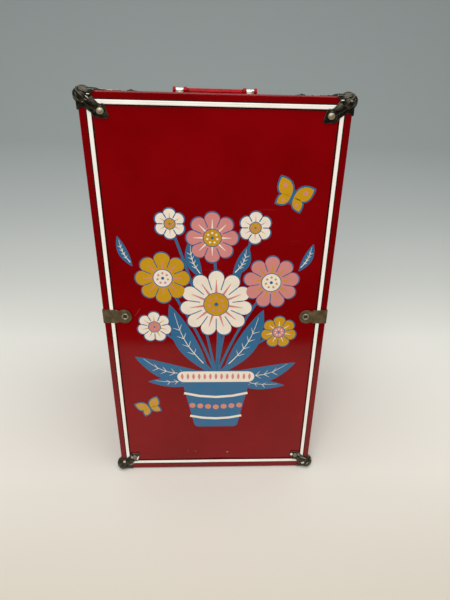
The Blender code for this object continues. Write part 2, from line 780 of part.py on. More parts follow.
def build_handle():
    """A moulded bail that lies back on the top board, its necks in two riveted saddles."""
    centre, axis_y, axis_z = -handle_shift, handle_axis_setback, top_plane + handle_axis_height
    board_top = top_plane - board_drop
    end = handle_length / 2
    knob_start = end - handle_knob_length
    saddle_end = knob_start - gap
    saddle_start = saddle_end - saddle_width
    arm_end = saddle_start - gap
    arm_start = arm_end - handle_arm_width
    arm_middle = (arm_start + arm_end) / 2
    grip_low = board_top + gap
    grip_high = top_plane + handle_grip_top
    grip_near = axis_y + handle_reach - handle_grip_depth / 2
    grip_far = grip_near + handle_grip_depth

    def bar(sign, start, stop, radius):
        ends = [(centre + sign * along, axis_y, axis_z) for along in (start, stop)]
        return pillar(*ends, radius)

    def span(sign, start, stop):
        return sorted((centre + sign * start, centre + sign * stop))

    grip = block(
        (centre - arm_middle, grip_near, grip_low),
        (centre + arm_middle, grip_far, grip_high),
        handle_grip_round,
    )
    joined = []
    arm = arc((axis_y, axis_z), handle_knob_radius, 90, 270, knob_steps)
    arm += [
        (grip_near + handle_grip_round, grip_low + handle_grip_round / 2),
        (grip_near + handle_grip_round, grip_high - handle_grip_round / 2),
    ]
    for sign in (-1, 1):
        low, high = span(sign, arm_start, arm_end)
        turn = frame_of((0, 1, 0), (0, 0, 1), (1, 0, 0), (0, 0, 0))
        joined.append(plate([arm], low, high, turn))
        joined.append(bar(sign, arm_middle, end - overrun, handle_neck_radius))
        joined.append(bar(sign, knob_start, end, handle_knob_radius))
    place("handle", combined(grip, joined), red_moulding, (centre, axis_y, axis_z))

    inner = handle_neck_radius + gap
    outer = inner + saddle_thickness
    foot_end = outer + saddle_foot
    foot_low = grip_low - axis_z
    foot_high = foot_low + saddle_thickness
    outline = [(-foot_end, foot_low), (-foot_end, foot_high), (-outer, foot_high)]
    outline += arc((0, 0), outer, 180, 0, arc_steps)
    outline += [(outer, foot_high), (foot_end, foot_high), (foot_end, foot_low), (inner, foot_low)]
    outline += arc((0, 0), inner, 0, 180, arc_steps) + [(-inner, foot_low)]
    for hand, sign in (("left", -1), ("right", 1)):
        low, high = span(sign, saddle_start, saddle_end)
        turn = frame_of((0, 1, 0), (0, 0, 1), (1, 0, 0), (0, axis_y, axis_z))
        strap = plate([outline], low, high, turn)
        rivet_reach = outer + saddle_foot * saddle_rivet_share
        rivets = [
            small_rivet((low + high) / 2, axis_y + way * rivet_reach, axis_z + foot_high, 2)
            for way in (-1, 1)
        ]
        place("handle_saddle_" + hand, combined(strap, rivets), nickel)


def build_rail():
    """The hanging rail between two turned sockets."""
    wall = half_width - lining_drop - gap
    rail_end = wall - socket_flange_thickness - gap
    at = (rail_setback, rail_height)
    rail = pillar((-rail_end, *at), (rail_end, *at), rail_radius)
    place("hanging_rail", rail, nickel)
    bore = rail_radius + gap
    profile = [
        (0, socket_flange_thickness),
        (bore, socket_flange_thickness),
        (bore, socket_depth),
        (socket_radius, socket_depth),
        (socket_radius, socket_flange_thickness),
        (socket_flange_radius, socket_flange_thickness),
        (socket_flange_radius, 0),
        (0, 0),
    ]
    for hand, sign in (("left", -1), ("right", 1)):
        socket = turned(profile, (sign * wall, *at), (-sign, 0, 0))
        place("rail_socket_" + hand, socket, nickel)


def hanger_outline():
    """A bow with a hook round the rail, whose middle is at zero."""
    reach = rail_radius + gap + hanger_wire / 2
    hook_start, hook_end = 180 + hanger_hook_open_degrees, -hanger_hook_open_degrees
    path = arc((0, 0), reach, hook_start, hook_end, wide_arc_steps)
    drop = hanger_neck * hanger_neck_drop_share
    bend_across, bend_down = hanger_neck_bend_shares
    path += [(reach * bend_across, -reach - drop * bend_down), (0, -reach - drop), (0, -hanger_neck)]
    left, right = [], []
    for i, (y, z) in enumerate(path):
        before, after = path[max(i - 1, 0)], path[min(i + 1, len(path) - 1)]
        run = math.hypot(after[0] - before[0], after[1] - before[1])
        side_y = -(after[1] - before[1]) / run * hanger_wire / 2
        side_z = (after[0] - before[0]) / run * hanger_wire / 2
        left.append((y + side_y, z + side_z))
        right.append((y - side_y, z - side_z))
    shoulder = [
        (hanger_span / 2 * span, -hanger_neck - hanger_fall * fall + hanger_bow * bow)
        for span, fall, bow in (
            hanger_crown_shares,
            hanger_upper_shares,
            hanger_tip_shares,
            hanger_under_shares,
            hanger_belly_shares,
        )
    ]
    bottom = [(0, -hanger_neck - hanger_bow)]
    return left + shoulder + bottom + [(-y, z) for y, z in reversed(shoulder)] + right[::-1]


def build_hangers():
    """Three hangers on the rail, a pitch apart, each with its pivot on the rail's axis."""
    turn = frame_of((0, 1, 0), (0, 0, 1), (1, 0, 0), (0, rail_setback, rail_height))
    half = hanger_thickness / 2
    for number in range(hanger_count):
        x = (number - (hanger_count - 1) / 2) * hanger_pitch
        mesh = plate([hanger_outline()], x - half, x + half, turn)
        place(f"hanger_{number + 1}", mesh, white_moulding, (x, rail_setback, rail_height))


def build_drawers():
    """A two-drawer case on the floor of the back half, with its drawers and their turned knobs."""
    outer_half = half_width - lining_drop - gap
    back = half_depth - lining_drop - gap
    low = lining_floor + gap
    case = block((-outer_half, drawer_setback, low), (outer_half, back, low + case_height))
    cell_half = outer_half - case_thickness
    cells = []
    for name, row in (("lower", 0), ("upper", 1)):
        floor = low + case_thickness + row * (cell_height + case_thickness)
        cells.append(
            block(
                (-cell_half, drawer_setback - overrun, floor),
                (cell_half, back - case_thickness, floor + cell_height),
            )
        )
        width = cell_half - drawer_clearance
        near, far = drawer_setback, back - case_thickness - drawer_clearance
        bottom = floor + drawer_clearance
        body = block((-width, near, bottom), (width, far, bottom + drawer_height))
        inside = block(
            (-width + drawer_thickness, near + drawer_thickness, bottom + drawer_thickness),
            (width - drawer_thickness, far - drawer_thickness, bottom + drawer_height + overrun),
        )
        place(f"drawer_{name}", combined(body, cut=(inside,)), printed_board)
        profile = [
            (0, knob_length),
            (knob_radius * knob_face_share, knob_length),
            (knob_radius, knob_length * knob_rim_shares[1]),
            (knob_radius, knob_length * knob_rim_shares[0]),
            (knob_stem_radius, knob_length * knob_stem_end_share),
            (knob_stem_radius * knob_foot_share, 0),
            (0, 0),
        ]
        stem = (0, near - gap, bottom + drawer_height / 2)
        place(f"drawer_{name}_knob", turned(profile, stem, (0, -1, 0)), red_moulding)
    place("drawer_case", combined(case, cut=cells), printed_board)


clear_scene()
for half, side in (("front", -1), ("back", 1)):
    build_boards(half, side)
    build_caps(half, side)
    build_clamps(half, side)
build_lip()
build_hinges()
build_latch()
build_handle()
build_rail()
build_hangers()
build_drawers()
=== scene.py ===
"""The looks of a doll's wardrobe trunk in red lacquer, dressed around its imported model."""

import math

import bmesh
import bpy
from mathutils import Matrix, Vector


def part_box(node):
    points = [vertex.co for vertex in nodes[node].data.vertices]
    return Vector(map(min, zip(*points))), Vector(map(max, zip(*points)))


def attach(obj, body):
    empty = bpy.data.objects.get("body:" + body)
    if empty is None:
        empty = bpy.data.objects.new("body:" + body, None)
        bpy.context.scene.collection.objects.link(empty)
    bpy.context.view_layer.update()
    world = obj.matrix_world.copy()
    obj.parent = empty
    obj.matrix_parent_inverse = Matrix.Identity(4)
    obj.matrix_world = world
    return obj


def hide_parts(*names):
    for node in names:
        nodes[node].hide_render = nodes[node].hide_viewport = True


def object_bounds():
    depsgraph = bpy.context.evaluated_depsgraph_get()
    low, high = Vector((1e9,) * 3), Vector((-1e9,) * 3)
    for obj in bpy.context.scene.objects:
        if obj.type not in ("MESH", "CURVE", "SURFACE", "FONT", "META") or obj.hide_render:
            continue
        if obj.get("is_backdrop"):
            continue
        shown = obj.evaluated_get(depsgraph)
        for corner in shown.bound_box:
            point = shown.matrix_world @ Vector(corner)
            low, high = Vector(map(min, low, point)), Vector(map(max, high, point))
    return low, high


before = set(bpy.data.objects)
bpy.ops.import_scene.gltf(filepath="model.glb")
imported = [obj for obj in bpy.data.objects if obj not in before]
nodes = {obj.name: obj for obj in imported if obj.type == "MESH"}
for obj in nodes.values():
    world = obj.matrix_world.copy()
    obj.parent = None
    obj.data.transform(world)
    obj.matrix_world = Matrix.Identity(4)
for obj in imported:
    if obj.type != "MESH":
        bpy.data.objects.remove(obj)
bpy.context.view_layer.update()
link = bpy.context.scene.collection.objects.link
Vert, Edge = bmesh.types.BMVert, bmesh.types.BMEdge

# The camera stands close in front of the trunk, level with its lid, and looks down at the pictured face.
# Such a short view gives the steep sides; the picture's long side takes the sensor's full width.
picture_height = 600  # pixels
focal_pixels = 423
middle_shift = (-10.2, -1.7)  # pixels by which the frame stands off the lens's middle
sensor = 36  # mm
camera_place = (-0.0002, -0.4897, 0.4097)
camera_yaw, camera_pitch, camera_roll = (math.radians(a) for a in (-2.86, -25.38, -1.46))

camera = bpy.data.objects.new("camera", bpy.data.cameras.new("camera"))
camera.data.sensor_width = sensor
camera.data.lens = sensor * focal_pixels / picture_height
camera.data.shift_x, camera.data.shift_y = (s / picture_height for s in middle_shift)
level = Matrix.Rotation(math.radians(90), 4, "X")
aimed = Matrix.Rotation(camera_yaw, 4, "Z") @ Matrix.Rotation(camera_pitch, 4, "X")
aimed = aimed @ Matrix.Rotation(camera_roll, 4, "Y") @ level
camera.matrix_world = Matrix.Translation(camera_place) @ aimed
link(camera)
bpy.context.scene.camera = camera
bpy.context.scene.view_settings.view_transform = "Standard"

# The stage is one sheet of pale paper that lies under the trunk and sweeps up behind it. Its colour is
# painted light: warm white falling off to a cool grey up the sweep, as the light does away from the lamps,
# painted lighter over the trunk's shadow just in front of it, and darker further forward.
stage_reach = 4.0
sweep_start = 0.25
sweep_radius = 0.7
sweep_steps = 32
fade_from, fade_to = -0.5, 1.7  # metres along the sheet, as depth and height together
# Tones along the sheet. The light stop just in front of the trunk is painted light over the trunk's shadow.
paper_and_light_tones = [
    (-0.45, "#C9C0B1"), (-0.26, "#CEC6B8"), (-0.12, "#E2DBD1"), (0.20, "#E6E3DB"), (0.43, "#CACAC4"),
    (0.77, "#ABAEAC"), (1.10, "#8F9594"), (1.65, "#8A9090"),
]


def linear(tone):
    """An sRGB hex colour as linear red, green, blue and alpha."""
    parts = [int(tone[i : i + 2], 16) / 255 for i in (1, 3, 5)]
    return [c / 12.92 if c <= 0.04045 else ((c + 0.055) / 1.055) ** 2.4 for c in parts] + [1]


def feed(node, sockets=None, **named):
    """Sets a node's sockets. Each takes a value, another node's first output or a named output."""
    named = {name.replace("_", " "): value for name, value in named.items()}
    for name, value in {**(sockets or {}), **named}.items():
        if isinstance(value, bpy.types.Node):
            value = value.outputs[0]
        if isinstance(value, bpy.types.NodeSocket):
            node.id_data.links.new(value, node.inputs[name])
        else:
            node.inputs[name].default_value = value


def add(material, kind, sockets=None, stops=(), **settings):
    """Adds a node with its settings and sockets, and gives a ramp its stops."""
    made = material.node_tree.nodes.new("ShaderNode" + kind)
    for name, value in settings.items():
        setattr(made, name, value)
    feed(made, sockets)
    while len(stops) > len(made.color_ramp.elements if stops else ()):
        made.color_ramp.elements.new(1)
    for number, (spot, tone) in enumerate(stops):
        made.color_ramp.elements[number].position = spot
        made.color_ramp.elements[number].color = linear(tone)
    return made


def blank(name, **values):
    """A new material, and its shader with some sockets set."""
    material = bpy.data.materials.new(name)
    material.use_nodes = True
    shader = material.node_tree.nodes["Principled BSDF"]
    feed(shader, **values)
    return material, shader


def picked(geom, kind):
    """The verts, or the edges, among the parts of a bmesh."""
    return [part for part in geom if isinstance(part, kind)]


def stored(name, shape):
    """A mesh made of a bmesh, which it uses up."""
    mesh = bpy.data.meshes.new(name)
    shape.to_mesh(mesh)
    shape.free()
    return mesh


def placed(name, mesh):
    """An object of a mesh, in the scene."""
    made = bpy.data.objects.new(name, mesh)
    link(made)
    return made


paper, paper_shader = blank("seamless_paper", Roughness=1.0, Specular_IOR_Level=0.0)
split = add(paper, "SeparateXYZ", {0: add(paper, "TexCoord").outputs["Object"]}).outputs
along = add(paper, "Math", {0: split["Y"], 1: split["Z"]}, operation="ADD")
share = add(paper, "MapRange", {0: along, 1: fade_from, 2: fade_to})
stops = [((spot - fade_from) / (fade_to - fade_from), tone) for spot, tone in paper_and_light_tones]
feed(paper_shader, Base_Color=add(paper, "ValToRGB", {0: share}, stops=stops))

sheet = bmesh.new()
near = [sheet.verts.new((x, -stage_reach, 0)) for x in (-stage_reach, stage_reach)]
far = bmesh.ops.extrude_edge_only(sheet, edges=[sheet.edges.new(near)])["geom"]
bmesh.ops.translate(sheet, verts=picked(far, Vert), vec=(0, stage_reach + sweep_start, 0))
border = picked(far, Vert) + picked(far, Edge)
hub = (0, sweep_start, sweep_radius)
swept = bmesh.ops.spin(
    sheet, geom=border, cent=hub, axis=(1, 0, 0), angle=math.radians(90), steps=sweep_steps
)["geom_last"]
raised = bmesh.ops.extrude_edge_only(sheet, edges=picked(swept, Edge))["geom"]
bmesh.ops.translate(sheet, verts=picked(raised, Vert), vec=(0, 0, stage_reach / 2))
bmesh.ops.recalc_face_normals(sheet, faces=sheet.faces)
paper_mesh = stored("paper_sweep", sheet)
paper_mesh.shade_smooth()
paper_mesh.materials.append(paper)
placed("paper_sweep", paper_mesh)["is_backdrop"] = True

# A large soft lamp hangs over the trunk and a weaker one faces it. A dark card in front, which only
# reflections see, stands for the unlit room past the table's edge and keeps the lacquer deep.
lamps = {
    "overhead": ((0.1, -0.35, 1.9), (0, 0, 0), (2.0, 1.6), 27),
    "front": ((-0.4, -2.0, 1.5), (56, 0, -11), (1.6, 1.2), 31),
}
ambient_tone = "#8E9493"
ambient_strength = 1.0
table_end = -0.395
card_size = (6.0, 0.62)
card_tone = "#030303"


def plain(name, tone, **values):
    """A material of one colour all over."""
    return blank(name, Base_Color=linear(tone), **values)[0]


for name, (spot, turn, size, power) in lamps.items():
    lamp = bpy.data.objects.new(name + "_lamp", bpy.data.lights.new(name + "_lamp", "AREA"))
    lamp.data.shape = "RECTANGLE"
    lamp.data.size, lamp.data.size_y = size
    lamp.data.energy = power
    lamp.location = spot
    lamp.rotation_euler = [math.radians(a) for a in turn]
    link(lamp)

world = bpy.data.worlds.new("room")
world.use_nodes = True
bpy.context.scene.world = world
feed(world.node_tree.nodes["Background"], Color=linear(ambient_tone), Strength=ambient_strength)

card_shape = bmesh.new()
bmesh.ops.create_grid(card_shape, x_segments=1, y_segments=1, size=0.5)
bmesh.ops.scale(card_shape, verts=card_shape.verts, vec=(*card_size, 1))
bmesh.ops.rotate(card_shape, verts=card_shape.verts, matrix=level.to_3x3())
bmesh.ops.translate(card_shape, verts=card_shape.verts, vec=(0, table_end, card_size[1] / 2))
card_mesh = stored("room_card", card_shape)
card_mesh.materials.append(plain("dark_card", card_tone, Roughness=1.0, Specular_IOR_Level=0.0))
room_card = placed("room_card", card_mesh)
room_card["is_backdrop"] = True
for ray in ("camera", "diffuse", "shadow", "transmission"):
    setattr(room_card, "visible_" + ray, False)

# The boards are thin plywood under a lithographed, lacquered paper, glossy and a little uneven from
# the glue. Years of handling left hairlines, and a few chips near the foot of the pictured face.
halves = {"front": -1, "back": 1}  # which side of the seam each lies on
lacquer_tones = "#740003", "#7E0106"
cloud_size = 0.06  # metres across one soft change of tone
hairlines = [(0.05, 0.0006, (0, 0.15, 0), 0.80), (0.035, 0.0005, (0, 1.15, 0), 0.79)]
hairline_edge, hairline_strength = 0.05, 0.6
hairline_tone = "#9A3B3B"
polish, hairline_polish = 0.12, 0.45  # roughness
ripple_size, ripple_depth = 0.035, 0.0004


def scratched(material, place, length, width, turn, share):
    """A mask of fine hairlines: noise stretched along one direction, cut off near its peaks."""
    scale = (1 / length, 1 / width, 1 / width)
    laid = add(material, "Mapping", {"Vector": place, "Rotation": turn, "Scale": scale})
    grain = add(material, "TexNoise", {"Vector": laid, "Scale": 1.0, "Detail": 1.0})
    limits = {1: share, 2: share + hairline_edge, 3: 0.0, 4: hairline_strength}
    return add(material, "MapRange", {0: grain, **limits}, clamp=True)


def lacquer(name, dark_tone, light_tone, specular):
    """Gloss lacquer with soft clouds of tone, hairline scratches and a faint ripple."""
    material, shader = blank(name, IOR=1.45, Specular_IOR_Level=specular)
    place = add(material, "TexCoord").outputs["Object"]
    clouds = add(material, "TexNoise", {"Vector": place, "Scale": 1 / cloud_size, "Detail": 3.0})
    base = add(material, "ValToRGB", {0: clouds}, stops=[(0.35, dark_tone), (0.65, light_tone)])
    level_lines, leaning_lines = (scratched(material, place, *kind) for kind in hairlines)
    lines = add(material, "Math", {0: level_lines, 1: leaning_lines}, operation="MAXIMUM")
    worn = add(material, "Mix", {0: lines, 6: base, 7: linear(hairline_tone)}, data_type="RGBA")
    dull = add(material, "MapRange", {0: lines, 3: polish, 4: hairline_polish})
    ripple = add(material, "TexNoise", {"Vector": place, "Scale": 1 / ripple_size, "Detail": 1.0})
    bump = add(material, "Bump", {"Height": ripple, "Strength": 0.25, "Distance": ripple_depth})
    feed(shader, Base_Color=worn.outputs[2], Roughness=dull, Normal=bump)
    return material


def dress(node, material):
    """Gives a CAD node a better material."""
    nodes[node].material_slots[0].material = material


board_lacquer = lacquer("lithographed_red_lacquer", *lacquer_tones, 0.3)
for half in halves:
    for board in ("panel", "board_top", "board_bottom", "board_left", "board_right"):
        dress(f"{half}_{board}", board_lacquer)

# Each face is bound along its four edges with an angle of tinned sheet, enamelled red. A rolled bead
# marks off its inner border, and the outer corner is rounded by the folding.
enamel_tones = "#6C0003", "#760205"
binding_leg = 0.0104
binding_thickness = 0.0008
binding_rounds = {"top": 0.0015, "bottom": 0.0008, "left": 0.0009, "right": 0.0009}
foot_lip = 0.0016  # the bottom fold has been beaten down into a lip
groove_place = 0.0061
groove_width = 0.0005
groove_depth = 0.0003
strip_steps = 48
bottom_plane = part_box("front_binding_left")[0].z
top_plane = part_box("front_binding_left")[1].z
half_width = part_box("front_binding_right")[1].x
half_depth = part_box("back_binding_left")[1].y
middle_height = (bottom_plane + top_plane) / 2
seam = 0.0003
wave_height, wave_push = 0.0006, 0.6  # the push is a share of the height
wave_place, wave_width, wave_reach = 0.006, 0.022, 1.2  # the reach is in widths of the binding


def arc(centre, radius, start, end, steps):
    """Points along an arc, in degrees."""
    angles = [math.radians(start + (end - start) * i / steps) for i in range(steps + 1)]
    return [(centre[0] + radius * math.cos(a), centre[1] + radius * math.sin(a)) for a in angles]


def prism(outline, low, high, steps=1):
    """A bmesh: a closed outline in the plane, extruded along Z and divided into even steps."""
    shape = bmesh.new()
    face = shape.faces.new([shape.verts.new((u, v, low)) for u, v in outline])
    pushed = bmesh.ops.extrude_face_region(shape, geom=[face])["geom"]
    bmesh.ops.translate(shape, verts=picked(pushed, Vert), vec=(0, 0, high - low))
    if steps > 1:
        long_edges = [e for e in shape.edges if abs(e.verts[0].co.z - e.verts[1].co.z) > seam]
        bmesh.ops.subdivide_edges(shape, edges=long_edges, cuts=steps - 1)
    return shape


def axes(right, up, out, corner=(0, 0, 0)):
    """The matrix that lays a shape's X, Y and Z along three directions from a corner."""
    laid = Matrix((right, up, out)).transposed().to_4x4()
    laid.translation = Vector(corner)
    return laid


def merged(*shapes):
    """One bmesh of several, which it uses up."""
    whole = bmesh.new()
    for shape in shapes:
        passed = stored("part", shape)
        whole.from_mesh(passed)
        bpy.data.meshes.remove(passed)
    return whole


def finished(name, shape, material, body, sharp=35, node=None):
    """Makes a piece of a bmesh, on the body that carries it, with its finish and the CAD node it replaces."""
    bmesh.ops.recalc_face_normals(shape, faces=shape.faces)
    mesh = stored(name, shape)
    mesh.materials.append(material)
    mesh.shade_smooth()
    mesh.set_sharp_from_angle(angle=math.radians(sharp))
    piece = placed(name, mesh)
    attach(piece, body)
    if node:
        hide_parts(node)


def binding_section(round_, drop):
    """The angle's outline from its rounded outer corner, with the bead's groove in its face leg."""
    leg, thick = binding_leg, binding_thickness
    lip = thick * 0.4
    groove_side = groove_width / 2
    face_leg = [(round_ * 1.25, 0), (groove_place - groove_side, 0), (groove_place, groove_depth)]
    face_leg += [(groove_place + groove_side, 0), (leg - lip, 0), (leg - lip * 0.3, lip * 0.3), (leg, lip)]
    inside = [(leg, thick), (thick, thick), (thick, leg), (0, leg)]
    if drop:
        inside += [(0, 3 * drop), (-drop, 2 * drop)]
    return arc((round_ - drop, round_), round_, 180, 270, 9) + face_leg + inside


def buckled(shape):
    """Lets the lower front edge belly out a little, where a knock bent it."""
    for vert in shape.verts:
        swell = math.exp(-(((vert.co.x - wave_place) / wave_width) ** 2))
        inward = (vert.co.z - bottom_plane) / binding_leg
        if 0 <= inward <= wave_reach:
            vert.co.z += wave_height * swell * inward
            vert.co.y -= wave_height * wave_push * swell * inward


along_x, along_y, along_z = (1, 0, 0), (0, 1, 0), (0, 0, 1)
rise, run = top_plane - bottom_plane, 2 * half_width - binding_leg
edges = {  # the way inwards, the way along, a corner, and where a strip starts and ends
    "left": (along_x, along_z, (-half_width, bottom_plane), 0, rise),
    "right": ((-1, 0, 0), along_z, (half_width, bottom_plane), 0, rise),
    "top": ((0, 0, -1), along_x, (-half_width, top_plane), binding_leg, run),
    "bottom": (along_z, along_x, (-half_width, bottom_plane), binding_leg, run),
}


def along_edge(half, name, section, start, end):
    """A section run along one edge of a half's face, which is bent where it was knocked."""
    inward, along, (x, z), *_ = edges[name]
    strip = prism(section, start, end, strip_steps)
    strip.transform(axes(inward, (0, -halves[half], 0), along, (x, halves[half] * half_depth, z)))
    if (half, name) == ("front", "bottom"):
        buckled(strip)
    return strip


red_enamel = lacquer("red_stoving_enamel", *enamel_tones, 0.36)
for half in halves:
    for name, (*_, start, end) in edges.items():
        section = binding_section(binding_rounds[name], foot_lip if name == "bottom" else 0)
        strip = along_edge(half, name, section, start + seam, end - seam)
        replaced = f"{half}_binding_{name}"
        finished(f"{half}_edge_{name}", strip, red_enamel, f"{half}_half", node=replaced)

# A white enamel stripe runs along the inner border of every binding. It is a shallow bead with a
# crease down its middle, a little speckled where the enamel has pinholed or been knocked.
stripe_places = {
    "left": (0.0067, 0.0100), "right": (0.0067, 0.0100), "top": (0.0066, 0.0099), "bottom": (0.0064, 0.0101)
}
stripe_reach = binding_leg * 0.4  # how far the level stripes run on towards the corners
stripe_rise = 0.00025
stripe_shoulder, stripe_side = stripe_rise * 1.5, stripe_rise * 0.4
crease_depth = 0.00012
crease_width = 0.0005
pinhole_spacing = 0.0096
pinhole_tone = "#8A7F70"
tone_size, patch_size = 0.02, 0.03


def stripe_section(start, end):
    """The stripe's outline from its outer border to its inner one, with the crease between."""
    middle = (start + end) / 2
    outline = [(start, seam), (start, -stripe_side), (start + stripe_shoulder, -stripe_rise)]
    outline += [(middle - crease_width, -stripe_rise), (middle, crease_depth - stripe_rise)]
    outline += [(middle + crease_width, -stripe_rise), (end - stripe_shoulder, -stripe_rise)]
    return outline + [(end, -stripe_side), (end, seam)]


def white_enamel():
    """Warm white stoving enamel, with sparse dark pinholes."""
    material, shader = blank("white_stoving_enamel", IOR=1.5, Roughness=0.35)
    place = add(material, "TexCoord").outputs["Object"]
    tone = add(material, "TexNoise", {"Vector": place, "Scale": 1 / tone_size, "Detail": 4.0})
    base = add(material, "ValToRGB", {0: tone}, stops=[(0.3, "#E9E4D9"), (0.7, "#F4F1E8")])
    dots = add(material, "TexVoronoi", {"Vector": place, "Scale": 1 / pinhole_spacing}).outputs["Distance"]
    hole = add(material, "MapRange", {0: dots, 1: 0.07, 2: 0.10, 3: 1.0, 4: 0.0})
    patch = add(material, "TexNoise", {"Vector": place, "Scale": 1 / patch_size})
    some = add(material, "Math", {0: patch, 1: 0.6}, operation="GREATER_THAN")
    mask = add(material, "Math", {0: hole, 1: some}, operation="MULTIPLY")
    mixed = add(material, "Mix", {0: mask, 6: base, 7: linear(pinhole_tone)}, data_type="RGBA")
    feed(shader, Base_Color=mixed.outputs[2])
    return material


stripe_enamel = white_enamel()
for half in halves:
    for name, (*_, start, end) in edges.items():
        trim = 0.0 if start else stripe_places[name][0]  # the upright stripes end where the level ones run
        spread = stripe_reach if start else 0.0
        section = stripe_section(*stripe_places[name])
        stripe = along_edge(half, name, section, start - spread + trim, end + spread - trim)
        finished(f"{half}_stripe_{name}", stripe, stripe_enamel, f"{half}_half")

# Thin maroon lines of painted shade lie beside the stripes: one over the groove, for the shade in it,
# and one on the board against the binding's inner border, for the shadow that the border casts.
shade_line_start, shade_line_width, shade_line_rise = 0.0057, 0.0009, 0.00004
panel_drop = half_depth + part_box("front_panel")[0].y
# The maroon of these lines is painted shade.
dark_marks = plain("painted_shade_lines", "#240003", Roughness=0.5, Specular_IOR_Level=0.2)
for half in halves:
    lines = []
    for name, (*_, start, end) in edges.items():
        reach = start + end  # the face's whole length along this edge
        for place, top, bottom in (
            (shade_line_start, -shade_line_rise, seam),
            (binding_leg, panel_drop - shade_line_rise, panel_drop + 2 * seam),
        ):
            past = place + shade_line_width
            section = [(place, top), (past, top), (past, bottom), (place, bottom)]
            lines.append(along_edge(half, name, section, place, reach - place))
    finished(f"{half}_shade_lines", merged(*lines), dark_marks, f"{half}_half")

# Each half ends, where it meets the other, in a rim of the same red enamelled angle. The rims close
# against each other round the whole trunk.
for half in halves:
    dress(f"{half}_rim", red_enamel)

# The corner caps are pressed from bronzed iron sheet, one over each of the eight corners: a ball with
# a raised three-pointed star, and three arms that end in fish tails, each held by a domed rivet.
cap_sheet = 0.0007
cap_ball = 0.0075
cap_insets = {"top": (0.0041, 0.0040, 0.0034), "bottom": (0.0018, 0.0046, 0.0034)}
cap_tab = 0.0222
level_side = [  # a tail's border, in mm along an edge and away from it
    (13.4, 0), (11.2, 2.2), (11.1, 4.2), (12.9, 6.8), (15.2, 9.5), (17.0, 10.4), (18.9, 9.8), (20.2, 12.0),
    (22.2, 19.0), (22.2, 20.8),
]
upright_side = [
    (15.6, 0), (13.4, 2.2), (13.7, 4.0), (14.9, 6.0), (17.4, 9.2), (19.6, 10.6), (20.6, 10.6), (21.6, 13.0),
    (22.2, 19.0), (22.2, 20.8),
]
cap_depth = 0.001
cap_cut = 0.005  # how far the sheet stops short of the corner, under the ball
cap_grain, cap_passes = 0.0003, 4
cap_stretch = {"top": (1.07, 0.94, 1.0), "bottom": (1.0, 1.0, 1.0)}  # the lid's caps were drawn wider
tail_bend, tail_bend_length, tail_dip = 0.0106, 0.0010, 0.0009
rivet_place = 0.0161
rivet_radius, rivet_height, rivet_flange = 0.0029, 0.0013, 0.0003
seat_radius, seat_rise = rivet_radius * 1.2, 0.0003
ridge_wide, ridge_narrow, ridge_proud = 0.0009, 0.0005, 0.0005
ridge_steps, spin_steps = 24, 28
ridge_aim, ridge_fan = 1.7, 0.75  # where a ridge points on its arm's face, and how far its neighbours fan out
ridge_reach, ridge_lead = 0.95, 0.3  # shares of its way at which a ridge ends and its neighbours start
arm_length, arm_width, arm_rise = 0.0098, 0.0040, 0.0020
arm_place, arm_lift = 0.0086, 0.0004
bronze_blotch, nickel_cloud = 0.004, 0.003
bronze_tones = [(0.08, "#1B1712"), (0.28, "#3C382E"), (0.48, "#5A5548"), (0.8, "#C9C2B0")]
bare, rubbed, dulled = "bare", "rubbed", "dulled"
# On the top caps these patches are painted glints, where the overhead light catches the ball and the arm's
# root. On the bottom caps they are rubbed wear along ball, ridges and tails, partly painted highlight.
rubs_and_glints = {  # pale patches of wear and painted glint: how far rubbed, middle and half size on the face in mm, and lean
    "top_left": [
        (bare, (7.9, 3.0, -2.4), (2.4, 0.4, 0.5), 0),
        (dulled, (8.4, 5.6, -3.3), (1.8, 0.6, 0.4), 45),
    ],
    "top_right": [
        (bare, (8.6, 3.1, -2.4), (2.3, 0.4, 0.5), 0),
        (dulled, (2.6, 3.6, -4.2), (0.9, 0.6, 0.4), 0),
    ],
    "bottom_left": [
        (rubbed, (3.4, 9.6, -1.5), (1.7, 2.6, 0.7), -25),
        (bare, (19.4, 14.2, -0.2), (0.9, 3.6, 0.5), -21),
        (bare, (12.9, 16.3, -0.9), (0.5, 1.8, 0.4), 0),
        (dulled, (11.5, 5.6, -1.1), (3.2, 0.5, 0.4), 25),
    ],
    "bottom_right": [
        (rubbed, (6.1, 6.4, -3.0), (2.6, 1.4, 0.6), -10),
        (bare, (20.6, 17.6, -0.2), (1.5, 1.9, 0.4), 0),
        (dulled, (12.0, 17.7, -0.9), (3.1, 0.6, 0.4), 62),
        (dulled, (6.0, 12.5, -1.1), (4.6, 0.6, 0.4), 23),
        (dulled, (13.2, 9.6, -1.1), (5.0, 0.6, 0.4), 21),
        (dulled, (-3.5, 8.4, 0.2), (0.5, 2.0, 0.5), 0),
        (dulled, (1.2, 6.4, -4.0), (0.5, 2.4, 0.5), 30),
    ],
}


def ellipsoid(centre, radii, turn=None, sides=24, rings=12):
    """A bmesh: an ellipsoid, turned if need be and moved to its centre."""
    shape = bmesh.new()
    bmesh.ops.create_uvsphere(shape, u_segments=sides, v_segments=rings, radius=1)
    bmesh.ops.scale(shape, vec=radii, verts=shape.verts)
    if turn:
        bmesh.ops.rotate(shape, verts=shape.verts, matrix=turn)
    bmesh.ops.translate(shape, vec=centre, verts=shape.verts)
    return shape


def settled(*objects):
    """A bmesh of the first object with its modifiers applied. The objects are removed."""
    result = bmesh.new()
    result.from_object(objects[0], bpy.context.evaluated_depsgraph_get())
    for used in objects:
        bpy.data.objects.remove(used)
    return result


def fused(shape, grain, passes):
    """One skin over a bmesh's overlapping solids, its joins softened as a press or a mould leaves them."""
    rough = placed("rough", stored("rough", shape))
    skin = rough.modifiers.new("skin", "REMESH")
    skin.mode = "VOXEL"
    skin.voxel_size = grain
    soft = rough.modifiers.new("soft", "SMOOTH")
    soft.factor = 0.5
    soft.iterations = passes
    return settled(rough)


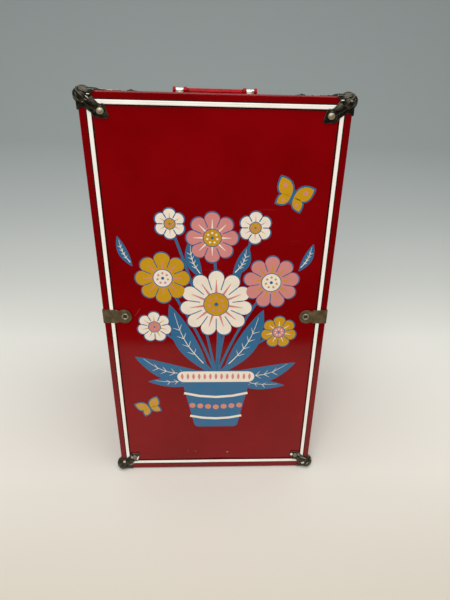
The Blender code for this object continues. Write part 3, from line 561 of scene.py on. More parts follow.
def without(shape, cutter):
    """The shape with a cutter taken out of it."""
    for part in (shape, cutter):
        bmesh.ops.recalc_face_normals(part, faces=part.faces)
    shape, cutter = (placed("part", stored("part", part)) for part in (shape, cutter))
    cut = shape.modifiers.new("cut", "BOOLEAN")
    cut.operation = "DIFFERENCE"
    cut.object = cutter
    return settled(shape, cutter)


def turned(shape, matrix):
    """The shape moved by a matrix, its faces kept outwards where the matrix mirrors it."""
    shape.transform(matrix)
    if matrix.determinant() < 0:
        bmesh.ops.reverse_faces(shape, faces=shape.faces)
    return shape


def copied(mesh):
    """A bmesh of a stored mesh."""
    shape = bmesh.new()
    shape.from_mesh(mesh)
    return shape


def tail_outline(out, side, other):
    """One arm of the cap, from the corner out along both edges and round its tail."""
    one, two = ([(u / 1000, v / 1000) for u, v in line] for line in (side, other))
    one, two = [(one[0][0], -out)] + one, [(two[0][0], -out)] + two
    return [(-out, cap_cut), (cap_cut, -out)] + one + [(v, u) for u, v in reversed(two)]


def bent_tails(shape):
    """Bends each tail in past the binding, so that it lies down towards the board."""
    for vert in shape.verts:
        for out, one, other in ((2, 0, 1), (0, 1, 2), (1, 2, 0)):
            past = (min(vert.co[one], vert.co[other]) - tail_bend) / tail_bend_length
            past = max(0.0, min(1.0, past))
            vert.co[out] += tail_dip * past * past * (3 - 2 * past)
    return shape


faces = (axes(along_x, along_y, along_z), axes(along_y, along_z, along_x), axes(along_z, along_x, along_y))


def pressed_cap(inset):
    """A cap at a corner whose faces lie on the three planes through zero, the trunk on the positive side."""
    out = seam + cap_sheet
    diagonal = Matrix.Rotation(math.radians(45), 3, "Z")
    centre = Vector(inset)
    parts = [ellipsoid(centre, (cap_ball,) * 3, sides=32, rings=16)]
    sides = ((level_side, upright_side), (upright_side, level_side), (level_side, level_side))
    for turn, (side, other) in zip(faces, sides):
        parts.append(turned(prism(tail_outline(out, side, other), -out, cap_depth), turn))
        arm = ellipsoid((arm_place, arm_place, -arm_lift), (arm_length, arm_width, arm_rise), diagonal)
        seat = ellipsoid((rivet_place, rivet_place, -out), (seat_radius, seat_radius, seat_rise))
        parts += [turned(arm, turn), turned(seat, turn)]
        for fan, first in ((0.0, 0.0), (-ridge_fan, ridge_lead), (ridge_fan, ridge_lead)):
            for step in range(ridge_steps):
                way = first + (ridge_reach - first) * step / (ridge_steps - 1)
                radius = ridge_wide + (ridge_narrow - ridge_wide) * way
                direction = Vector((way * (ridge_aim + fan) - 1, way * (ridge_aim - fan) - 1, -1))
                direction = (turn.to_3x3() @ direction).normalized()
                spot = centre + direction * (cap_ball + ridge_proud - radius)
                parts.append(ellipsoid(spot, (radius,) * 3, sides=12, rings=6))
    skin = fused(merged(*parts), cap_grain, cap_passes)
    reach = 2 * cap_tab
    corner = prism([(-seam, -seam), (reach, -seam), (reach, reach), (-seam, reach)], -seam, reach)
    return bent_tails(without(skin, corner))


def spun(profile):
    """A bmesh turned about Z from a profile of radius and height."""
    shape = bmesh.new()
    verts = [shape.verts.new((u, 0, v)) for u, v in profile]
    geom = verts + [shape.edges.new(pair) for pair in zip(verts, verts[1:])]
    bmesh.ops.spin(
        shape, geom=geom, cent=(0, 0, 0), axis=along_z, angle=math.tau, steps=spin_steps, use_merge=True
    )
    bmesh.ops.remove_doubles(shape, verts=shape.verts, dist=1e-6)
    return shape


def domed(radius, height, flange):
    """A rivet's domed head, its flat side at zero."""
    dome = [(radius * math.sin(a), height * math.cos(a)) for a in (math.radians(10 * i) for i in range(1, 9))]
    return spun([(0, height)] + dome + [(radius, flange), (radius * 1.02, 0), (0, 0)])


def bronzed_iron():
    """Chemically darkened sheet iron, brown in its hollows and rubbed bright on its ridges."""
    material, shader = blank("bronzed_sheet_iron", Metallic=0.85)
    place = add(material, "TexCoord").outputs["Object"]
    rub = add(material, "NewGeometry").outputs["Pointiness"]
    dark_marks = add(material, "TexNoise", {"Vector": place, "Scale": 1 / bronze_blotch, "Detail": 5.0})
    raised = add(material, "MapRange", {0: rub, 1: 0.45, 2: 0.58, 3: 0.0, 4: 0.7})
    blotch = add(material, "MapRange", {0: dark_marks, 1: 0.35, 2: 0.7, 3: -0.06, 4: 0.09})
    wear = add(material, "Math", {0: raised, 1: blotch}, operation="ADD")
    base = add(material, "ValToRGB", {0: wear}, stops=bronze_tones)
    rough = add(material, "MapRange", {0: dark_marks, 1: 0.3, 2: 0.7, 3: 0.22, 4: 0.42})
    bump = add(material, "Bump", {"Height": dark_marks, "Strength": 0.15, "Distance": 0.0001})
    feed(shader, Base_Color=base, Roughness=rough, Normal=bump)
    return material


def clouded(name, stops, size, detail=4.0, swirl=0.0, rough=None, relief=None, **values):
    """A finish whose tone and roughness drift together in soft clouds, over a fine relief."""
    material, shader = blank(name, **values)
    place = add(material, "TexCoord").outputs["Object"]
    cloud = add(
        material, "TexNoise", {"Vector": place, "Scale": 1 / size, "Detail": detail, "Distortion": swirl}
    )
    feed(shader, Base_Color=add(material, "ValToRGB", {0: cloud}, stops=stops))
    if rough:
        limits = {1: 0.3, 2: 0.7, 3: rough[0], 4: rough[1]}
        feed(shader, Roughness=add(material, "MapRange", {0: cloud, **limits}))
    if relief:
        grain, detail, strength, depth = relief
        fine = add(material, "TexNoise", {"Vector": place, "Scale": 1 / grain, "Detail": detail})
        feed(shader, Normal=add(material, "Bump", {"Height": fine, "Strength": strength, "Distance": depth}))
    return material


def nickel_plate(name, dark_tone, light_tone, smooth, metallic=0.72):
    """Nickel plate gone warm and slightly cloudy; the duller it is, the less it acts as bare metal."""
    stops = [(0.3, dark_tone), (0.7, light_tone)]
    return clouded(name, stops, nickel_cloud, rough=(smooth, smooth + 0.15), Metallic=metallic)


bronze = bronzed_iron()
nickel = nickel_plate("dulled_nickel_plate", "#9C9176", "#C4BAA0", 0.34)
soiled_nickel = nickel_plate("soiled_nickel_plate", "#6F6553", "#9A8F78", 0.36)
# Pale iron for the patches: rubbed wear on the bottom caps, painted glints on the top caps.
wear_and_glint_finishes = {
    wear: plain(wear + "_iron", tone, Metallic=metallic, Roughness=0.3)
    for wear, tone, metallic in ((bare, "#EFECE4", 0.3), (rubbed, "#CDC1AF", 0.4), (dulled, "#A89E8E", 0.5))
}
hands = {"left": -1, "right": 1}
levels = {"top": (top_plane, -1, nickel), "bottom": (bottom_plane, 1, soiled_nickel)}
caps = {level_name: stored("cap", pressed_cap(inset)) for level_name, inset in cap_insets.items()}
heads = []
for laid in faces:
    head = domed(rivet_radius, -rivet_height, -rivet_flange)
    bmesh.ops.translate(head, verts=head.verts, vec=(rivet_place, rivet_place, tail_dip - seam - cap_sheet))
    head.transform(laid)
    heads.append(head)
rivets = stored("rivets", merged(*heads))
for half, side in halves.items():
    for level_name, (edge_height, up, plate) in levels.items():
        for hand, sign in hands.items():
            corner = (sign * half_width, side * half_depth, edge_height)
            to_corner = axes((-sign, 0, 0), (0, 0, up), (0, -side, 0), corner)
            to_corner = to_corner @ Matrix.Diagonal((*cap_stretch[level_name], 1))
            shape = turned(copied(caps[level_name]), to_corner)
            if level_name == "bottom":  # the balls are worn flat where the trunk stands
                whole = shape.verts[:] + shape.edges[:] + shape.faces[:]
                cut = bmesh.ops.bisect_plane(
                    shape, geom=whole, plane_co=(0, 0, 0), plane_no=along_z, clear_inner=True
                )["geom_cut"]
                bmesh.ops.holes_fill(shape, edges=picked(cut, Edge))
            name, replaced = f"{half}_cap_{level_name}_{hand}", f"{half}_corner_{level_name}_{hand}"
            finished(name, shape, bronze, f"{half}_half", 50, replaced)
            finished(name + "_rivets", turned(copied(rivets), to_corner), plate, f"{half}_half")
            # Each patch is a thin pale ellipsoid over the cap; on the top caps it is a painted glint.
            for number, (wear, spot, half_size, lean) in enumerate(rubs_and_glints[f"{level_name}_{hand}"], 1):
                tilt = Matrix.Rotation(math.radians(lean), 3, "Z")
                patch = turned(ellipsoid(Vector(spot) / 1000, Vector(half_size) / 1000, tilt), to_corner)
                finished(f"{name}_rub_{number}", patch, wear_and_glint_finishes[wear], f"{half}_half")

# A dark sheet clip is nailed over each corner joint of the rims. It sits in two leaves round the trunk's
# edge, was japanned black over red, and has worn to bare iron along its folds.
clip_length, clip_thickness, clip_rise = 0.0125, 0.0005, 0.0012
clip_reach = clip_length + clip_rise
clip_edge = clip_thickness * 0.35
rim_width = 0.0063
clip_outline = [(0, 0), (clip_reach, 0), (clip_reach, clip_thickness), (clip_thickness, clip_thickness)]
clip_outline += [(clip_thickness, clip_reach), (0, clip_reach)]


def eased(shape, edges, offset, segments=2):
    """Rounds off some of a bmesh's edges."""
    bmesh.ops.bevel(
        shape, geom=edges, offset=offset, segments=segments, profile=0.5, affect="EDGES", material=-1
    )
    return shape


for half, side in halves.items():
    low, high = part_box(f"{half}_rim")
    near, far = sorted((side * seam, side * rim_width))
    for hand, sign in hands.items():
        for level_name, edge_height, up in (("top", high.z, -1), ("bottom", low.z, 1)):
            clip = prism(clip_outline, near, far)
            eased(clip, clip.edges[:], clip_edge)
            corner = (sign * (high.x + clip_thickness), 0, edge_height - up * clip_thickness)
            turned(clip, axes((-sign, 0, 0), (0, 0, up), along_y, corner))
            finished(f"{half}_seam_clip_{level_name}_{hand}", clip, bronze, f"{half}_half")

# Half way up each upright edge a brass-washed angle clamps face to side. Each leaf narrows to a neck
# and a round end, which a tubular eyelet rivets down. Handling has browned it.
clamp_height = 0.015
clamp_plate = 0.0132
clamp_neck_place, clamp_neck_height = 0.0155, 0.0118
clamp_end_place, clamp_end_radius = 0.0203, 0.0076
clamp_sheet = 0.00045
clamp_edge = 0.0002
eyelet_radius, eyelet_bore, eyelet_rise = 0.0033, 0.0022, 0.0010
eyelet_place = (0.0214, 0.0004)
clamp_lift = 0.0013
eyelet_gap = 0.0002
leaf_turns = (Matrix.Identity(4), axes(along_z, along_y, along_x))


def clamp_outline():
    """One leaf: a plate that narrows to a neck and ends round."""
    half, neck = clamp_height / 2, clamp_neck_height / 2
    waist = math.degrees(math.asin(neck / clamp_end_radius))
    out = seam + clamp_sheet
    end = arc((clamp_end_place, 0), clamp_end_radius, waist - 180, 180 - waist, 24)
    outline = [(-out, -half), (clamp_plate, -half), (clamp_neck_place, -neck)]
    return outline + end[1:-1] + [(clamp_neck_place, neck), (clamp_plate, half), (-out, half)]


def pressed_clamp():
    """A clamp round an edge that runs along Y, its two leaves outside the planes X = 0 and Z = 0."""
    leaves = []
    for turn in leaf_turns:
        leaf = prism(clamp_outline(), -seam - clamp_sheet, -seam)
        rim = [e for e in leaf.edges if abs(e.verts[0].co.z - e.verts[1].co.z) < seam]
        leaves.append(turned(eased(leaf, rim, clamp_edge), turn))
    return merged(*leaves)


def eyelet():
    """A tubular rivet's rolled rim with its open bore."""
    bend = (eyelet_radius - eyelet_bore) / 2
    profile = [(0, -seam), (0, eyelet_rise * 0.2), (eyelet_bore * 0.8, eyelet_rise * 0.3)]
    profile += arc((eyelet_bore + bend, eyelet_rise - bend * 0.8), bend, 170, 0, 8)
    return spun(profile + [(eyelet_radius, -seam), (0, -seam)])


# Brass wash over sheet steel, browned in blotches and rubbed paler in places.
brass_tones = [(0.3, "#50402A"), (0.5, "#5E4F36"), (0.72, "#766748")]
brass_relief = (0.005, 5.0, 0.2, 0.0001)
brass = clouded(
    "browned_brass_wash", brass_tones, 0.005, 5.0, rough=(0.42, 0.55), relief=brass_relief, Metallic=0.45
)
eyelet_nickel = nickel_plate("worn_nickel_plate", "#938972", "#BDB39B", 0.34)
# The dark disc down each eyelet's bore is painted shade, the shadow under its rolled rim.
bore_shade = plain("painted_bore_shadow", "#3A2E20", Roughness=0.6, Specular_IOR_Level=0.2)
studs = []
for turn in leaf_turns:
    stud = turned(eyelet(), Matrix.Scale(-1, 4, along_z))
    bmesh.ops.translate(stud, verts=stud.verts, vec=(*eyelet_place, -seam - clamp_sheet - eyelet_gap))
    studs.append(turned(stud, turn))
bore_top = -seam - clamp_sheet - eyelet_rise * 0.75
bore = arc(eyelet_place, eyelet_bore, 0, 345, 23)
clamp, eyelets = stored("clamp", pressed_clamp()), stored("eyelets", merged(*studs))
bores = stored("bores", merged(*(turned(prism(bore, bore_top, -seam), turn) for turn in leaf_turns)))
for half, side in halves.items():
    for hand, sign in hands.items():
        corner = (sign * half_width, side * half_depth, middle_height + clamp_lift)
        to_edge = axes((-sign, 0, 0), along_z, (0, -side, 0), corner)
        name, body, replaced = f"{half}_clasp_{hand}", f"{half}_half", f"{half}_clamp_{hand}"
        finished(name, turned(copied(clamp), to_edge), brass, body, 50, replaced)
        finished(name + "_eyelets", turned(copied(eyelets), to_edge), eyelet_nickel, body)
        finished(name + "_bores", turned(copied(bores), to_edge), bore_shade, body)

# The carrying handle is one moulding in bright red polystyrene: a plump grip between two arms, whose
# necks turn in sheet metal saddles and end in knobs. Its moulding line shows along the grip.
handle_low, handle_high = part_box("handle")
saddle_low, saddle_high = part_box("handle_saddle_right")
knob_radius, knob_length = 0.0036, 0.003
neck_radius = 0.0016
handle_arm = 0.0034
arm_foot, arm_shoulder = 0.003, 0.002
grip_depth = 0.012
grip_round = 0.0028
plump_length, plump_depth = 0.82, 0.54  # shares of the arms' reach and of the grip's depth
arm_rear, arm_front = 0.3, 0.8  # shares of the grip's depth and of the knob's radius
grip_grain, grip_passes = 0.0003, 3
grip_top = handle_high.z - 0.0009
handle_middle = (handle_low.x + handle_high.x) / 2
handle_reach = (handle_high.x - handle_low.x) / 2
axis_y = (saddle_low.y + saddle_high.y) / 2
axis_z = handle_high.z - knob_radius
arm_end = saddle_low.x - seam - handle_middle
grip_y = handle_high.y - grip_depth / 2


def bar(start, end, radius, sides=32):
    """A round bar from one point to another, closed at both ends."""
    start, end = Vector(start), Vector(end)
    shape = bmesh.new()
    bmesh.ops.create_cone(
        shape, cap_ends=True, segments=sides, radius1=radius, radius2=radius, depth=(end - start).length
    )
    turn = (end - start).to_track_quat("Z", "Y").to_matrix().to_4x4()
    shape.transform(Matrix.Translation((start + end) / 2) @ turn)
    return shape


def polystyrene(name, dark_tone, light_tone):
    """Moulded polystyrene: glossy and slightly peeled, with faint swirls where the colour flowed."""
    stops, peel = [(0.35, dark_tone), (0.65, light_tone)], (0.0025, 2.0, 0.5, 0.0003)
    return clouded(name, stops, 0.012, 2.0, 1.5, (0.2, 0.32), peel, IOR=1.59, Specular_IOR_Level=0.08)


red_plastic = polystyrene("moulded_red_polystyrene", "#960009", "#A6010C")
grip_low = Vector((handle_middle - arm_end, grip_y - grip_depth / 2, handle_low.z))
grip_high = Vector((handle_middle + arm_end, grip_y + grip_depth / 2, grip_top))
grip_middle = (handle_middle, grip_y, (handle_low.z + grip_top) / 2)
grip = bmesh.new()
bmesh.ops.create_cube(grip, size=1)
bmesh.ops.scale(grip, vec=grip_high - grip_low, verts=grip.verts)
bmesh.ops.translate(grip, vec=(grip_low + grip_high) / 2, verts=grip.verts)
plump = (arm_end * plump_length, grip_depth * plump_depth, (grip_top - handle_low.z) / 2)
mould = [eased(grip, grip.edges[:], grip_round, 4), ellipsoid(grip_middle, plump, sides=48, rings=24)]
arm_back = grip_y + grip_depth * arm_rear
arm_outline = arc((axis_y, axis_z), knob_radius, 90, 270, 12) + [(grip_y, handle_low.z + arm_foot / 3)]
arm_outline += [(arm_back, handle_low.z + arm_foot), (arm_back, grip_top - arm_shoulder), (grip_y, grip_top)]
arm_outline.append((axis_y + knob_radius * arm_front, grip_top))
reaches = (
    arm_end - handle_arm, arm_end, handle_reach - knob_length / 2, handle_reach - knob_length, handle_reach
)
for sign in hands.values():
    inner_end, outer_end, neck_end, knob_start, knob_end = (handle_middle + sign * reach for reach in reaches)
    arm = prism(arm_outline, min(inner_end, outer_end), max(inner_end, outer_end))
    mould.append(turned(arm, faces[1]))
    mould.append(bar((inner_end, axis_y, axis_z), (neck_end, axis_y, axis_z), neck_radius))
    mould.append(bar((knob_start, axis_y, axis_z), (knob_end, axis_y, axis_z), knob_radius))
moulding = fused(merged(*mould), grip_grain, grip_passes)
finished("carrying_handle", moulding, red_plastic, "handle", 80, "handle")

# Each saddle is a strap of nickel-plated sheet, bent over a neck and riveted to the top board at both
# feet. Its rolled edges catch the light.
saddle_sheet = 0.0008
foot_reach = 0.007
strap_edge = saddle_sheet * 0.25
saddle_rivet, saddle_rivet_height, saddle_rivet_flange = 0.0017, 0.0008, 0.0001
saddle_rivet_share = 0.6  # of the foot's reach
inner = neck_radius + seam
outer = inner + saddle_sheet
foot_low = saddle_low.z - axis_z
foot_high = foot_low + saddle_sheet


def strap_outline():
    """A strap from foot to foot over the neck, and back along its inner side."""
    bend = saddle_sheet
    outline = [(-outer - foot_reach, foot_low), (-outer - foot_reach, foot_high)]
    outline += arc((-outer - bend, foot_high + bend), bend, 270, 360, 4)
    outline += arc((0, 0), outer, 180, 0, 20)
    outline += arc((outer + bend, foot_high + bend), bend, 180, 270, 4)
    outline += [(outer + foot_reach, foot_high), (outer + foot_reach, foot_low), (inner, foot_low)]
    return outline + arc((0, 0), inner, 0, 180, 16) + [(-inner, foot_low)]


strap_nickel = nickel_plate("handled_nickel_plate", "#CFC5AC", "#E6DECB", 0.22, 0.88)
for hand in hands:
    low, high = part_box("handle_saddle_" + hand)
    strap = prism(strap_outline(), low.x, high.x)
    strap.transform(axes(along_y, along_z, along_x, (0, axis_y, axis_z)))
    bmesh.ops.recalc_face_normals(strap, faces=strap.faces)
    rims = [e for e in strap.edges if abs(e.verts[0].co.x - e.verts[1].co.x) < 1e-6]
    eased(strap, rims, strap_edge)
    replaced = "handle_saddle_" + hand
    finished("saddle_strap_" + hand, strap, strap_nickel, "back_half", node=replaced)
    heads = []
    for side in halves.values():
        head = domed(saddle_rivet, saddle_rivet_height, saddle_rivet_flange)
        foot_y = axis_y + side * (outer + foot_reach * saddle_rivet_share)
        bmesh.ops.translate(head, verts=head.verts, vec=((low.x + high.x) / 2, foot_y, axis_z + foot_high))
        heads.append(head)
    finished("saddle_rivets_" + hand, merged(*heads), nickel, "back_half")

# Hinges, hasp, turning stud and the inner lip are steel stampings, bright nickel where nothing rubs
# them. The hanging rail is a drawn tube in the same plate.
bright_tones = [(0.3, "#B4ADA0"), (0.7, "#D6D1C6")]
bright = clouded("bright_nickel_plate", bright_tones, 0.006, rough=(0.16, 0.34), Metallic=1.0)
for part in ("hasp_plate", "hasp", "latch_plate", "turning_stud", "inner_lip", "hanging_rail"):
    dress(part, bright)
for hand in hands:
    dress("rail_socket_" + hand, bright)
for height in ("upper", "lower"):
    for part in ("back_leaf", "front_leaf", "pin"):
        dress(f"hinge_{height}_{part}", bright)

# Both halves are lined with a thin printed paper on card: cream, with a small sprig repeated in rows
# in two colours, a little foxed at the folds.
sprig_pitch = 0.014
sprig_ring, sprig_eye = (0.16, 0.19, 0.8), (0.06, 0.09, 0.9)  # from and to, in pitches, and strength
foxing_size, fibre_size = 0.03, 0.0008


def printed_paper():
    """Matt paper with rows of small dotted flowers, turned to lie on every wall."""
    material, shader = blank("printed_lining_paper", Roughness=0.8)
    place, facing = (add(material, "TexCoord").outputs[name] for name in ("Object", "Normal"))
    across = add(material, "VectorMath", {0: facing}, operation="ABSOLUTE")
    on_wall = add(material, "VectorMath", {0: (1, 1, 1), 1: across}, operation="SUBTRACT")
    flat = add(material, "VectorMath", {0: place, 1: on_wall}, operation="MULTIPLY")
    dots = add(
        material, "TexVoronoi", {"Vector": flat, "Scale": 1 / sprig_pitch, "Randomness": 0.12}
    ).outputs["Distance"]
    ring, eye = (
        add(material, "MapRange", {0: dots, 1: start, 2: end, 3: strength, 4: 0.0})
        for start, end, strength in (sprig_ring, sprig_eye)
    )
    foxing = add(material, "TexNoise", {"Vector": place, "Scale": 1 / foxing_size, "Detail": 5.0})
    ground = add(material, "ValToRGB", {0: foxing}, stops=[(0.35, "#E4D8BC"), (0.7, "#EFE6D0")])
    petals = add(material, "Mix", {0: ring, 6: ground, 7: linear("#5F93AE")}, data_type="RGBA").outputs[2]
    whole = add(material, "Mix", {0: eye, 6: petals, 7: linear("#C24A4A")}, data_type="RGBA").outputs[2]
    fibre = add(material, "TexNoise", {"Vector": place, "Scale": 1 / fibre_size, "Detail": 3.0})
    bump = add(material, "Bump", {"Height": fibre, "Strength": 0.2, "Distance": 0.0001})
    feed(shader, Base_Color=whole, Normal=bump)
    return material


lining = printed_paper()
for half in halves:
    dress(half + "_lining", lining)

# Three white moulded hangers hook over the rail, and two drawers of covered card slide in their case
# below it, each with a turned red knob.
white_plastic = polystyrene("moulded_white_polystyrene", "#E2DED2", "#F0EDE4")
card_tones = [(0.3, "#D8CAA9"), (0.7, "#E8DDC4")]  # cream paper, browned here and there
card = clouded("paper_covered_card", card_tones, 0.04, 6.0, relief=(0.001, 3.0, 0.25, 0.0001), Roughness=0.7)
for finish, parts in (
    (white_plastic, ("hanger_1", "hanger_2", "hanger_3")),
    (card, ("drawer_case", "drawer_upper", "drawer_lower")),
    (red_plastic, ("drawer_upper_knob", "drawer_lower_knob")),
):
    for part in parts:
        dress(part, finish)

# The pictured face is screen printed in four flat inks over the red: a pot of garden flowers with two
# butterflies. A blue ground goes down first and stands out round every shape as its outline.
mm = 0.001
ink_step = 0.00004
ink_gap = 1e-8  # so that no two prints lie in one plane
outline_width = 1.3  # mm, as are the drawing's other sizes
thin_patch = 0.012  # metres
thin_tone = "#8A3A3A"
ink_tones = {"blue": "#22648C", "cream": "#E9DCCB", "pink": "#CD827D", "yellow": "#C3910A"}
blooms = [
    ((0, 222), 36, 11, "cream", "yellow", "pink"),
    ((-52, 250), 26, 8, "yellow", "cream", "pink"),
    ((54, 246), 27, 9, "pink", "cream", "yellow"),
    ((-4, 291), 24, 8, "pink", "yellow", "cream"),
    ((-63, 196), 17, 7, "cream", "pink", "yellow"),
    ((65, 190), 18, 7, "yellow", "pink", "cream"),
    ((36, 301), 15, 6, "cream", "yellow", "pink"),
    ((-43, 304), 14, 6, "cream", "yellow", "pink"),
]
leaves = [
    ((-10, 138), (-86, 160), 21, 9),
    ((10, 138), (86, 152), 21, -9),
    ((-8, 140), (-47, 222), 22, 5),
    ((8, 140), (48, 216), 22, -5),
    ((-6, 138), (-74, 128), 15, 5),
    ((6, 138), (76, 122), 15, -5),
    ((-14, 250), (-26, 288), 13, 3),
    ((16, 252), (30, 284), 13, -3),
    ((-80, 262), (-92, 292), 9, 2),
    ((80, 258), (92, 286), 9, -2),
]
vein_start, vein_end, vein_width = 0.14, 0.88, 1.0
rib_shares, rib_turn, rib_reach, rib_width = (0.3, 0.42, 0.54, 0.66), 0.75, 0.33, 0.8
fine_taper = 0.3
leaf_steps, spine_steps, leaf_fullness, tip_growth = 16, 50, 0.85, 1.6
petal_steps, petal_notch, petal_fullness = 14, 0.26, 0.55
ray_shares, ray_width, ray_taper = (0.36, 0.55, 0.74), 0.07, 0.2
split_shares, split_width, split_taper = (0.45, 0.6, 0.76), 0.9, 1.2
heart_share, heart_outline = 0.34, 0.8
seeds, seed_place, seed_radius, centre_dot = 7, 0.2, 0.045, 0.06
stem_root = (0, 136)
stem_width = 2.6
stem_bow = 4
pot_top, pot_foot, pot_wide, pot_narrow = 128, 64, 37, 25
pot_corner = 5
rim_top, rim_wide, rim_lap = 141, 42, 1
band_halves = [((35.2, 112), (18, 108), (0, 106.5)), ((29.2, 80), (15, 77), (0, 76))]
band_width = 3.0
beads, bead_pitch, bead_height, bead_rise = 7, 8.8, 92.5, 0.09
bead_rings = [("pink", 5, 3.4, 20), ("yellow", 6, 1.4, 14)]  # ink, layer, radius and sides
dashes, dash_pitch, dash_foot, dash_top, dash_width = 13, 6.1, 130.2, 138.4, 3.0
butterflies = [((68, 330), 15, -0.35), ((-74, 92), 12, 0.4)]
wings = [((1.05, 0.85), 0.85, -0.05), ((0.75, -0.65), 0.6, 0.05)]  # tip, width and bow, in sizes
wing_root = 0.1
body_foot, body_top, body_width = 0.5, 0.45, 0.17
wing_spots = [((0.68, 0.5), 0.13), ((0.45, -0.35), 0.09)]
feeler_line, feeler_width = [(0, 0.3), (0.18, 0.62), (0.42, 0.78)], 0.8


def bloom(centre, radius, petals):
    """A round flower's outline, a circle scalloped into petals."""
    points = []
    for step in range(petals * petal_steps):
        angle = math.tau * step / (petals * petal_steps)
        swell = abs(math.cos(petals * angle / 2)) ** petal_fullness
        reach = radius * (1 - petal_notch + petal_notch * swell)
        points.append((centre[0] + reach * math.sin(angle), centre[1] + reach * math.cos(angle)))
    return points


def leaf(base, tip, width, bow, grow=0.0):
    """A pointed leaf from base to tip, bowed to one side, and grown all round for its outline."""
    run = Vector(tip) - Vector(base)
    along = run.normalized()
    across = Vector((-along.y, along.x))
    start, length = Vector(base) - along * grow * tip_growth, run.length + 2 * grow * tip_growth
    one, other = [], []
    for step in range(leaf_steps + 1):
        share = step / leaf_steps
        spine = start + along * length * share + across * bow * math.sin(math.pi * share)
        half = (width / 2 + grow) * math.sin(math.pi * share) ** leaf_fullness
        one.append(spine + across * half)
        other.append(spine - across * half)
    return one + other[-2:0:-1]


def stroke(points, width, taper=1.0):
    """A band along a smooth line, which may narrow towards its end."""
    one, other = [], []
    for step, point in enumerate(points):
        before, after = Vector(points[max(step - 1, 0)]), Vector(points[min(step + 1, len(points) - 1)])
        along = (after - before).normalized()
        across = Vector((-along.y, along.x)) * width / 2 * (1 + (taper - 1) * step / (len(points) - 1))
        one.append(Vector(point) + across)
        other.append(Vector(point) - across)
    return one + other[::-1]


def bowed(start, end, bow, steps=14):
    """Points on a bowed line."""
    run = Vector(end) - Vector(start)
    across = Vector((-run.y, run.x)).normalized()
    shares = [step / steps for step in range(steps + 1)]
    return [Vector(start) + run * share + across * bow * math.sin(math.pi * share) for share in shares]


def disc(centre, radius, sides=28):
    """A round spot."""
    return arc(centre, radius, 0, 360 - 360 / sides, sides - 1)


def pot_outline(top, foot, wide, narrow, grow=0.0):
    """A tapered pot with rounded lower corners."""
    left = arc((-narrow + pot_corner, foot + pot_corner), pot_corner + grow, 195, 270, 6)
    right = [(-u, v) for u, v in reversed(left)]
    return [(-wide - grow, top + grow)] + left + right + [(wide + grow, top + grow)]


def bar_outline(low, high, half, grow=0.0):
    """A level band with round ends."""
    radius = (high - low) / 2
    right = arc((half - radius, (low + high) / 2), radius + grow, -90, 90, 8)
    return right + [(-u, v) for u, v in reversed(right)]


inked = []  # (ink, layer, outline)


def ink(tone, layer, outline):
    """Lays an outline down in one ink, in one layer."""
    inked.append((tone, layer, outline))


def around(centre, reach, angle):
    """The point at a reach from a centre, at an angle from straight up."""
    return Vector(centre) + Vector((math.sin(angle), math.cos(angle))) * reach


def flown(points, turn, centre):
    """A butterfly's points, turned and moved to its place."""
    return [turn @ Vector(point) + Vector(centre) for point in points]


for centre, *_ in blooms:
    bow = stem_bow if centre[0] > 0 else -stem_bow
    ink("blue", 0, stroke(bowed(stem_root, centre, bow), stem_width))
for base, tip, width, bow in leaves:
    ink("blue", 0, leaf(base, tip, width, bow))
    run = Vector(tip) - Vector(base)
    vein = bowed(Vector(base) + run * vein_start, Vector(base) + run * vein_end, bow)
    ink("cream", 1, stroke(vein, vein_width, fine_taper))
    for share in rib_shares:
        root = bowed(base, tip, bow, spine_steps)[int(share * spine_steps)]
        for turn in (-rib_turn, rib_turn):
            out = root + Matrix.Rotation(turn, 2) @ run.normalized() * width * rib_reach
            ink("cream", 1, stroke([root, (root + out) / 2, out], rib_width, fine_taper))
for centre, radius, petals, fill, heart, ring in blooms:
    ink("blue", 0, bloom(centre, radius + outline_width, petals))
    ink(fill, 1, bloom(centre, radius, petals))
    for petal in range(petals):
        angle, notch = (math.tau * (petal + shift) / petals for shift in (0, 0.5))
        ray = [around(centre, radius * share, angle) for share in ray_shares]
        ink(ring, 2, stroke(ray, radius * ray_width, ray_taper))
        split = [around(centre, radius * share, notch) for share in split_shares]
        ink("blue", 2, stroke(split, split_width, split_taper))
    ink("blue", 2, disc(centre, radius * heart_share + heart_outline))
    ink(heart, 3, disc(centre, radius * heart_share))
    for seed in range(seeds):
        spot = around(centre, radius * seed_place, math.tau * seed / seeds)
        ink(ring, 4, disc(spot, radius * seed_radius, 10))
    ink("blue", 4, disc(centre, radius * centre_dot, 12))

ink("blue", 4, pot_outline(pot_top, pot_foot, pot_wide, pot_narrow))
for points in band_halves:
    ink("cream", 5, stroke([(-u, v) for u, v in points] + [*points[-2::-1]], band_width))
for bead in range(beads):
    across = (bead - beads // 2) * bead_pitch
    for tone, layer, radius, sides in bead_rings:
        ink(tone, layer, disc((across, bead_height + abs(across) * bead_rise), radius, sides))
for tone, layer, grow in (("blue", 5, outline_width), ("cream", 6, 0)):
    ink(tone, layer, bar_outline(pot_top - rim_lap, rim_top, rim_wide, grow))
for dash in range(dashes):
    across = (dash - dashes // 2) * dash_pitch
    ink("pink", 7, leaf((across, dash_foot), (across, dash_top), dash_width, 0))

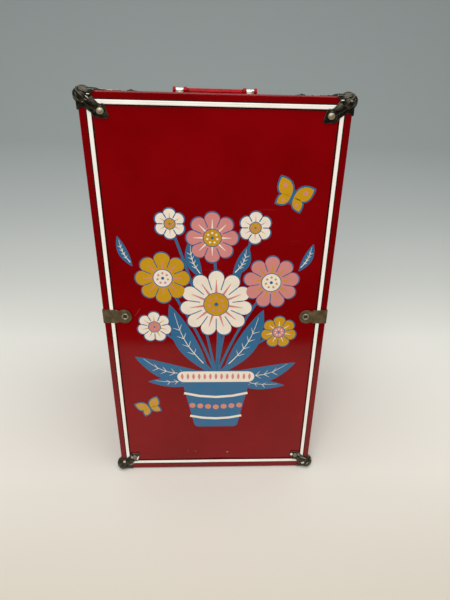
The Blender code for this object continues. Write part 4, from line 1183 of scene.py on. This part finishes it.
for centre, size, lean in butterflies:
    turn = Matrix.Rotation(lean, 2)
    for grow, tone, layer in ((outline_width, "blue", 8), (0, "yellow", 9)):
        for hand in (-1, 1):
            for (u, v), width, bow in wings:
                root, tip = (hand * size * wing_root, 0), (hand * size * u, size * v)
                wing = leaf(root, tip, size * width, hand * size * bow, grow)
                ink(tone, layer, flown(wing, turn, centre))
    for hand in (-1, 1):
        for (u, v), radius in wing_spots:
            ink("pink", 10, disc(*flown([(hand * size * u, size * v)], turn, centre), size * radius, 16))
        feeler = [(hand * size * u, size * v) for u, v in feeler_line]
        ink("blue", 10, stroke(flown(feeler, turn, centre), feeler_width))
    body = leaf((0, -size * body_foot), (0, size * body_top), size * body_width, 0)
    ink("blue", 10, flown(body, turn, centre))


def screen_ink(name, tone):
    """Matt-gloss printing ink, patchy where the squeegee left it thin."""
    material, shader = blank(f"screen_ink_{name}", IOR=1.45, Roughness=0.22)
    place = add(material, "TexCoord").outputs["Object"]
    thin = add(material, "TexNoise", {"Vector": place, "Scale": 1 / thin_patch, "Detail": 4.0})
    amount = add(material, "MapRange", {0: thin, 1: 0.35, 2: 0.75, 3: 0.0, 4: 0.12})
    mixed = add(material, "Mix", {0: amount, 6: linear(tone), 7: linear(thin_tone)}, data_type="RGBA")
    feed(shader, Base_Color=mixed.outputs[2])
    return material


panel_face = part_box("front_panel")[0].y
on_panel = axes(along_x, along_z, (0, -1, 0), (0, panel_face, 0))
for tone, hex_tone in ink_tones.items():
    layers = []
    for number, (used, layer, outline) in enumerate(inked):
        if used == tone:
            lift = ink_step * (layer + 1) / 4 + number * ink_gap
            layers.append(prism([(u * mm, v * mm) for u, v in outline], seam / 100, lift))
    picture = merged(*layers)
    picture.transform(on_panel)
    finished(f"print_{tone}", picture, screen_ink(tone, hex_tone), "front_half")

# Two knocks and a rub near the foot have gone through the lacquer: a dark broken rim, and within it the
# tan of the wood. Higher up on the left is one short scratch.
knocks = [  # middle and half size in mm, and lean
    ((13.9, 24.2), (2.4, 1.3), 0.25), ((-23.9, 26.1), (0.9, 0.6), 0.0), ((-33.0, 26.2), (0.7, 0.6), 0.0)
]
knock_tones = [  # the material, its colour, its share of the knock and its height
    ("chipped_lacquer_rim", "#300003", 1.0, 0.00003), ("bared_poplar_ply", "#B08E66", 0.55, 0.00006)
]
knock_sides, knock_jag, knock_drift = 11, 0.22, 3.3
graze_line, graze_bow = ((-76.5, 216.8), (-82.6, 208.3)), 0.4
graze_width, graze_taper = 0.45, 0.4
graze_lift = 0.00002


def knock(centre, radii, lean, share):
    """A small broken outline."""
    turn = Matrix.Rotation(lean, 2)
    points = []
    for step in range(knock_sides):
        angle = math.tau * step / knock_sides
        reach = share * (1 + knock_jag * math.sin(knock_drift * step))
        spot = Vector((radii[0] * reach * math.cos(angle), radii[1] * reach * math.sin(angle)))
        points.append((turn @ spot + Vector(centre)) * mm)
    return points


graze = stroke(bowed(*graze_line, graze_bow), graze_width, graze_taper)
graze = prism([(u * mm, v * mm) for u, v in graze], -seam, graze_lift)
graze.transform(on_panel)
grazed = plain("grazed_lacquer", "#9C3430", Roughness=0.4, Specular_IOR_Level=0.2)
finished("panel_graze", graze, grazed, "front_half")
for name, tone, share, lift in knock_tones:
    worn = plain(name, tone, Roughness=0.7, Specular_IOR_Level=0.2)
    marks = merged(*(prism(knock(*mark, share), -seam, lift) for mark in knocks))
    marks.transform(on_panel)
    finished("panel_knocks_" + name, marks, worn, "front_half")

low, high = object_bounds()
